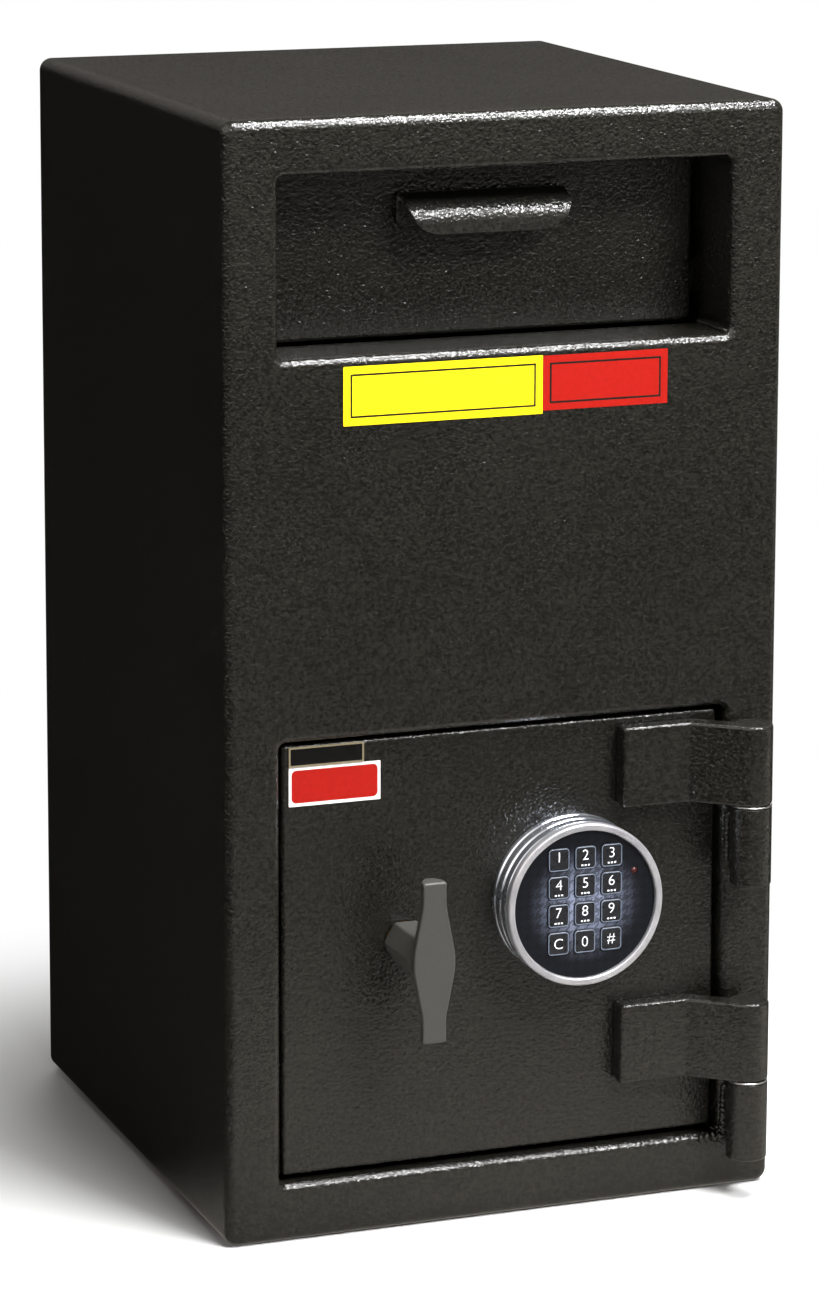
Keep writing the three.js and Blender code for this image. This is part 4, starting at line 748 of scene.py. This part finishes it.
# Keypad: a turned zinc body in bright chrome, with a flange, grooves and a separate satin bezel ring.
keypad_x, keypad_z, keypad_sides = 44.5, 199.5, 128
keypad_back, keypad_front = door_front - 0.3, door_front - 28.3
keypad_radius, band_radius, bezel_inner = 51.0, 50.9, 46.5
bezel_round, bezel_lip, bezel_chamfer, bezel_back = 1.5, 1.2, 0.4, 6.0
face_front = keypad_front + 2.8
chrome = clouded(
    "bright_chrome",
    (45, 3.0, 0.6),
    (200, 206, 220),
    (226, 230, 240),
    (0.05, 0.05),
    edges=firm_edges,
    Metallic=0.92,
)
satin_ring = clouded(
    "satin_bezel",
    (60,),
    (172, 171, 176),
    (190, 189, 193),
    (0.30, 0.10),
    edges=soft_edges,
    Metallic=0.6,
)


def band(start, end, radius, ease):
    """One turned band of a drum, from its back to its front, with a quarter round at its front edge."""
    return [(radius - 0.3, start), (radius, start - 0.4)] + bend((radius - ease, end + ease), ease, 0, -90)


drum = [(0, keypad_back)]
drum += band(keypad_back, keypad_back - 4.4, keypad_radius, 1.9)
drum += [(47.6, keypad_back - 4.6), (47.6, keypad_back - 6.0)]
drum += band(keypad_back - 6.2, keypad_back - 13.4, band_radius, 2.2)
drum += [(47.8, keypad_back - 13.6), (47.8, keypad_back - 15.0)]
drum += band(keypad_back - 15.2, keypad_front + 6.3, band_radius, 1.6)
drum += [(bezel_inner, keypad_front + 6.3), (bezel_inner, keypad_front + 9), (0, keypad_front + 9)]
bezel = [(bezel_inner, keypad_front + bezel_back), (bezel_inner, keypad_front + bezel_lip)]
bezel += bend((bezel_inner + bezel_lip, keypad_front + bezel_lip), bezel_lip, 180 + next_point, 270, 4)
bezel += bend((keypad_radius - bezel_round, keypad_front + bezel_round), bezel_round, -90, 0)
bezel += [(keypad_radius, keypad_front + bezel_back - bezel_chamfer)]
bezel += [(keypad_radius - bezel_chamfer, keypad_front + bezel_back), bezel[0]]
for name, profile, finish, cad_name in (
    ("keypad_drum", drum, chrome, "keypad_base"),
    ("keypad_ring", bezel, satin_ring, "keypad_bezel"),
):
    surface = turned(profile, (keypad_x, 0, keypad_z), "y", keypad_sides)
    made(name, [surface], finish, "door", (cad_name,), sharp=32)

# Keypad face: a dark moulded disc with a woven two-and-two check, and a painted glow that makes its middle
# paler and greyer.
# The counts of threads are shifted above zero, where their remainders repeat evenly.
face_plastic = Finish("keypad_face_plastic", Specular_IOR_Level=0.2)
face_place = face_plastic.place()
face_x = face_plastic.part(face_place, 0) - keypad_x * MM
face_z = face_plastic.part(face_place, 2) - keypad_z * MM
from_middle = (face_x * face_x + face_z * face_z) ** 0.5
threads_in_metre, shift = 1 / (0.8 * MM), 800
column = (face_x * threads_in_metre + shift).floor()
row = (face_z * threads_in_metre + shift).floor()
over = (column - row + 2 * shift).modulo(4.0).below(1.5)
check = over * column.modulo(8.0).below(3.5) + (1 - over) * row.modulo(8.0).below(3.5)
# Painted glow: the colour is pale and bluish at the middle and darkens towards the rim.
face_painted_glow = face_plastic.blend(from_middle.within(2 * MM, 39 * MM), shade(124, 131, 153), shade(16, 18, 25))
face_plastic.set("Base Color", face_plastic.blend(check * 0.6, face_painted_glow, shade(4, 5, 8)))
face_plastic.set("Roughness", 0.34 + 0.16 * check)
face_plastic.relief(check, 0.00003)
finished(face_plastic, "keypad_face")
red_lens = Finish("red_lens", Roughness=0.35)
red_lens.set("Base Color", red_lens.blend(red_lens.noise(900), shade(54, 10, 10), shade(72, 14, 13)))
finished(red_lens, "status_lamp")

# Keys: twelve black caps with eased edges, each with a grey printed border and a white sign.
# The digits 2 to 9 have three small marks under them.
key_pitch_x, key_pitch_z, grid_rise = 17.4, 17.6, 3.0
key_half_x, key_half_z, key_corner, key_ease = 7.0, 7.25, 2.5, 0.7
key_face, key_back = face_front - 1.0, keypad_front + 7.5
border_profile = [(0.25, 0.4), (0.3, 0.05), (0.55, -0.08), (0.8, -0.06), (0.95, 0.06), (0.95, 0.4), (0.25, 0.4)]
sign_size, sign_thick, sign_thinning = 9.4, 0.12, -0.10
digit_rise, mark_pitch, mark_half, mark_low, mark_high = 1.9, 2.1, 0.65, -5.1, -4.1
print_front, print_back = key_face - 0.07, key_face + 0.03
key_plastic = clouded(
    "key_plastic",
    (420, 3.0, 0.6, 0.4),
    (20, 20, 23),
    (30, 31, 36),
    (0.22, 0.14),
    edges=firm_edges,
    grain=(2200,),
    depth=0.00002,
)
key_print = clouded("key_print", (1200,), (222, 226, 232), (244, 245, 247), (0.4, 0.1))
key_border = clouded("key_border_print", (600,), (86, 97, 114), (112, 122, 138), (0.35, 0.1))


def sign(text, x, z):
    """A printed sign as a thin solid that faces the front, centred on x and z."""
    data = bpy.data.curves.new("sign", "FONT")
    data.body, data.size, data.align_x, data.align_y = text, sign_size, "CENTER", "CENTER"
    data.extrude, data.offset = sign_thick / 2, sign_thinning
    holder = bpy.data.objects.new("sign", data)
    bpy.context.scene.collection.objects.link(holder)
    shape = final_mesh(holder)
    points = np.zeros(len(shape.vertices) * 3)
    shape.vertices.foreach_get("co", points)
    points = points.reshape(-1, 3)
    points -= (points.min(0) + points.max(0)) / 2
    faces = [list(face.vertices) for face in shape.polygons]
    bpy.data.objects.remove(holder)
    bpy.data.meshes.remove(shape)
    return np.stack([x + points[:, 0], print_back - sign_thick / 2 - points[:, 2], z + points[:, 1]], 1), faces


key_names = "1 2 3 4 5 6 7 8 9 c 0 hash".split()
for place, (mark, key_name) in enumerate(zip("123456789C0#", key_names)):
    key_node = f"key_{key_name}"
    x = keypad_x + (place % 3 - 1) * key_pitch_x
    z = keypad_z + (1.5 - place // 3) * key_pitch_z + grid_rise
    cap_profile = [(0.0, key_back), (0.0, key_face + key_ease)]
    cap_profile += bend((key_ease, key_face + key_ease), key_ease, 180 + next_point, 270, 3)
    cap, border = [
        np.array(carried_round(profile, key_half_x, z - key_half_z, z + key_half_z, key_corner)) + [x, 0, 0]
        for profile in (cap_profile, [(inset, key_face + lift) for inset, lift in border_profile])
    ]
    prints = [sign(mark, x, z + (digit_rise if mark in "123456789" else 0.0))]
    if mark in "23456789":
        for middle in (x - mark_pitch, x, x + mark_pitch):
            spot = oblong(middle - mark_half, middle + mark_half, z + mark_low, z + mark_high)
            prints += pushed(spot, print_front, print_back)
    made(f"{key_node}_cap", solid(cap), key_plastic, key_node, (key_node,), sharp=50)
    made(f"{key_node}_border", [skinned(border)], key_border, key_node, sharp=30)
    made(f"{key_node}_print", prints, key_print, key_node, sharp=30)

# Bolts and lock behind the door: bright turned bolts, a plated carriage, a die-cast lock case with four screws,
# and a brass swing bolt.
brass = clouded(
    "brass",
    (180, 4.0, 0.6, 0.4),
    (158, 124, 62),
    (196, 162, 94),
    (0.28, 0.18),
    edges=soft_edges,
    Metallic=1.0,
)
casting = clouded(
    "lock_casting",
    (700, 4.0, 0.65, 0.2),
    (128, 129, 129),
    (160, 161, 160),
    (0.40, 0.16),
    edges=soft_edges,
    grain=(700, 4.0, 0.65, 0.2),
    depth=0.00008,
    Metallic=1.0,
)
finished(brass, "swing_bolt", "handle_bush")
finished(casting, "lock_case")
finished(zinc_plate, "bolt_carriage", "bolt_guide", "carriage_stud_upper", "carriage_stud_lower")
finished(zinc_plate, "spindle_crank", "handle_spindle", "baffle_crank")
finished(inner_coat, "dead_bar", "baffle_flap")
bolt_radius, bolt_tip, bolt_end, bolt_y = 12.7, -133.8, -79.8, -150
bolt_nose = [(-3.4, 0), (-2.6, 0.3), (-0.3, 2.6), (0, 3.4)]
bolt_profile = [(0, bolt_tip)] + [(bolt_radius + wider, bolt_tip + further) for wider, further in bolt_nose]
bolt_profile += [(bolt_radius, bolt_end - 0.6), (bolt_radius - 0.6, bolt_end), (0, bolt_end)]
for level, name in ((246, "upper"), (115, "lower")):
    made(
        f"round_bolt_{name}",
        [turned(bolt_profile, (0, bolt_y, level), "x", 96)],
        bare_steel,
        "boltwork",
        (f"locking_bolt_{name}",),
        sharp=30,
    )
case_back = -136.5
screw_places = [(6.5, 159.5), (59.5, 159.5), (6.5, 238.5), (59.5, 238.5)]
screw_head = [(0, 1.0), (1.6, 1.0), (1.8, 2.2), (2.8, 2.1), (3.5, 1.6), (3.8, 0.9), (3.8, -0.2), (0, -0.2)]
screws = [turned(screw_head, (x, case_back, z), "y", 40) for x, z in screw_places]
made("case_screws", screws, bare_steel, "door", sharp=30)

# Drawer: a folded pan in front, coated like the body, and a welded tray behind it.
drawer_half, drawer_low, drawer_high = 142.5, 544.4, 651.0
drawer_face, drawer_return = -137.0, -123.0
drawer_edge, drawer_corner, drawer_sheet = 3.0, 4.0, 2.5
pan_profile = [(0, drawer_return)] + bend((drawer_edge, drawer_face + drawer_edge), drawer_edge, 180, 270)
pan_outer = carried_round(pan_profile, drawer_half, drawer_low, drawer_high, drawer_corner)
pan_hollow = [(drawer_sheet, drawer_face + drawer_sheet), (drawer_sheet, drawer_return), (0, drawer_return)]
pan_inner = carried_round(pan_hollow, drawer_half, drawer_low, drawer_high, drawer_corner)
made(
    "drawer_panel",
    [capped(pan_outer[-1]), skinned(pan_outer), skinned(pan_inner), capped(pan_inner[0])],
    black_coat,
    "drawer",
    ("drawer_front",),
)
finished(inner_coat, "drawer_tray")

# Finger pull: one strip of sheet, flat on the drawer front, folded out over the fingers and down to a lip.
# The lip has wide round corners. Its coat is a paler copy of the body's black paint, painted light that
# brightens the pull in its dark recess, with a rougher gloss and a deeper grain.
pull_half, pull_top, pull_nose, pull_lip = 53.5, 634.5, 625.0, 609.5
pull_against, pull_reach, pull_sheet = drawer_face - 0.3, 26.0, 2.5
pull_near = pull_against - pull_sheet / 2
pull_far = pull_against - pull_reach + pull_sheet / 2
pull_bends, pull_flange, pull_lean = [5, 5, 13, 5], pull_lip + 2.5, 1.5
lip_corner, flange_corner, edge_points = 20.0, 5.0, 7
pull_line = rounded(
    [(pull_near, pull_flange), (pull_near, pull_top), (pull_far, pull_nose), (pull_far + pull_lean, pull_lip)],
    pull_bends,
    10,
    closed=False,
)
pull_step = np.concatenate([[0], np.cumsum(np.linalg.norm(np.diff(pull_line, axis=0), axis=1))])
pull_length = pull_step[-1]
from_flange = flange_corner * (1 - np.cos(np.linspace(0, math.pi / 2, 7)))
to_lip = pull_length - lip_corner * (1 - np.cos(np.linspace(math.pi / 2, 0, 13)))
between = pull_step[(pull_step > flange_corner) & (pull_step < pull_length)]
pull_s = np.unique(np.concatenate([from_flange, between, to_lip]))
pull_path = np.stack([np.interp(pull_s, pull_step, pull_line[:, k]) for k in range(2)], 1)
pull_width = pull_half - corner_loss(pull_s, flange_corner) - corner_loss(pull_length - pull_s, lip_corner)
pull_along = unit(np.gradient(pull_path, axis=0))
pull_normal = np.stack([-pull_along[:, 1], pull_along[:, 0]], 1)
round_edge = directions(np.linspace(0, math.pi, edge_points)) * pull_sheet / 2
edge_out, edge_n = round_edge[:, 1] - pull_sheet / 2, round_edge[:, 0]
section_x, section_n = np.concatenate([edge_out, -edge_out[::-1]]), np.concatenate([edge_n, edge_n[::-1]])
side_x = pull_width[:, None] * np.repeat([1, -1], edge_points)[None, :] + section_x[None, :]
side_y, side_z = [pull_path[:, k, None] + pull_normal[:, k, None] * section_n[None, :] for k in range(2)]
# A paler copy of the black coat: painted light on the pull.
pull_lightened_coat = powder_coat("pull_lightened_powder_coat", (42, 41, 37), (30, 30, 27), 0.12, 0.000595)
made(
    "finger_pull",
    solid(np.stack([side_x, side_y, side_z], -1)),
    pull_lightened_coat,
    "drawer",
    ("drawer_pull",),
    sharp=50,
)

# Labels and badge: blank vinyl labels with thin printed borders, and a small bare plate in a bright frame.
# Each place is given by its left, right, lower and upper edge.
vinyl_thick, print_thick = 0.14, 0.05
yellow_place, red_place = (-105.3, 21.9, 501.8, 537.4), (22.1, 103.6, 503.6, 537.0)
yellow_border, red_border, border_width = (-100.9, 17.5, 506.4, 532.8), (26.5, 99.2, 507.8, 532.6), 1.2
door_label_place, door_panel_place = (-137.7, -79.2, 270.6, 294.6), (-136.0, -81.0, 272.6, 292.8)
badge_place, badge_frame_place = (-137.3, -90.6, 295.4, 307.0), (-137.9, -90.0, 294.9, 307.3)
badge_thick, frame_thick, frame_width = 0.5, 0.9, 1.1


def vinyl(name, colour, shadow, gloss=0.45):
    """Printed vinyl: one even colour with a faint mottle from the coat under it."""
    return clouded(
        name,
        (320, 3.0, 0.6),
        shadow,
        colour,
        (gloss, 0.1),
        edges=soft_edges,
        grain=(520, 2.0, 0.55, 0.4),
        depth=0.00003,
        Specular_IOR_Level=0.16,
    )


def plain_slab(place, y, thick, corner=0.4):
    """A thin slab with small round corners, lying on an upright face at y."""
    return pushed(rounded(oblong(*place), corner), y - thick, y)


def border_line(place, y, thick, width, corner=0.3):
    """A thin frame of the given width, lying on an upright face at y."""
    x0, x1, z0, z1 = place
    outer = rounded(oblong(*place), corner, 3)
    inner = rounded(oblong(x0 + width, x1 - width, z0 + width, z1 - width), corner, 3)
    lift = [(outer, y), (outer, y - thick), (inner, y - thick), (inner, y), (outer, y)]
    return skinned([placed(ring, level) for ring, level in lift])


plate_black = clouded("plate_black", (700, 3.0, 0.6), (7, 7, 7), (14, 14, 13), (0.16, 0.08))
badge_metal = clouded(
    "badge_metal",
    (600, 3.0, 0.6),
    (226, 206, 160),
    (250, 240, 214),
    (0.34, 0.1),
    Metallic=1.0,
)
yellow_vinyl = vinyl("yellow_vinyl", (250, 228, 16), (248, 224, 10))
red_vinyl = vinyl("red_vinyl", (160, 18, 5), (152, 15, 4))
white_vinyl = vinyl("white_vinyl", (240, 238, 236), (228, 226, 224))
black_ink = vinyl("black_ink", (30, 26, 22), (22, 18, 16), 0.4)
label_front = body_front - vinyl_thick
yellow_slab = plain_slab(yellow_place, body_front, vinyl_thick)
red_slab = plain_slab(red_place, body_front, vinyl_thick)
door_slab = plain_slab(door_label_place, door_front, vinyl_thick)
panel_slab = plain_slab(door_panel_place, door_front - vinyl_thick, print_thick, 3.0)
badge_slab = plain_slab(badge_place, door_front, badge_thick)
borders = [border_line(place, label_front, print_thick, border_width) for place in (yellow_border, red_border)]
badge_frame = [border_line(badge_frame_place, door_front, frame_thick, frame_width, 0.5)]
for name, surfaces, finish, body, slot in (
    ("label_yellow", yellow_slab, yellow_vinyl, "safe_body", "dark_plastic"),
    ("label_red", red_slab, red_vinyl, "safe_body", "dark_plastic"),
    ("label_borders", borders, black_ink, "safe_body", "dark_plastic"),
    ("door_label", door_slab, white_vinyl, "door", "dark_plastic"),
    ("door_label_panel", panel_slab, red_vinyl, "door", "dark_plastic"),
    ("badge_plate", badge_slab, plate_black, "door", "dark_plastic"),
    ("badge_frame", badge_frame, badge_metal, "door", "bright_chrome"),
):
    made(name, surfaces, finish, body, sharp=30)
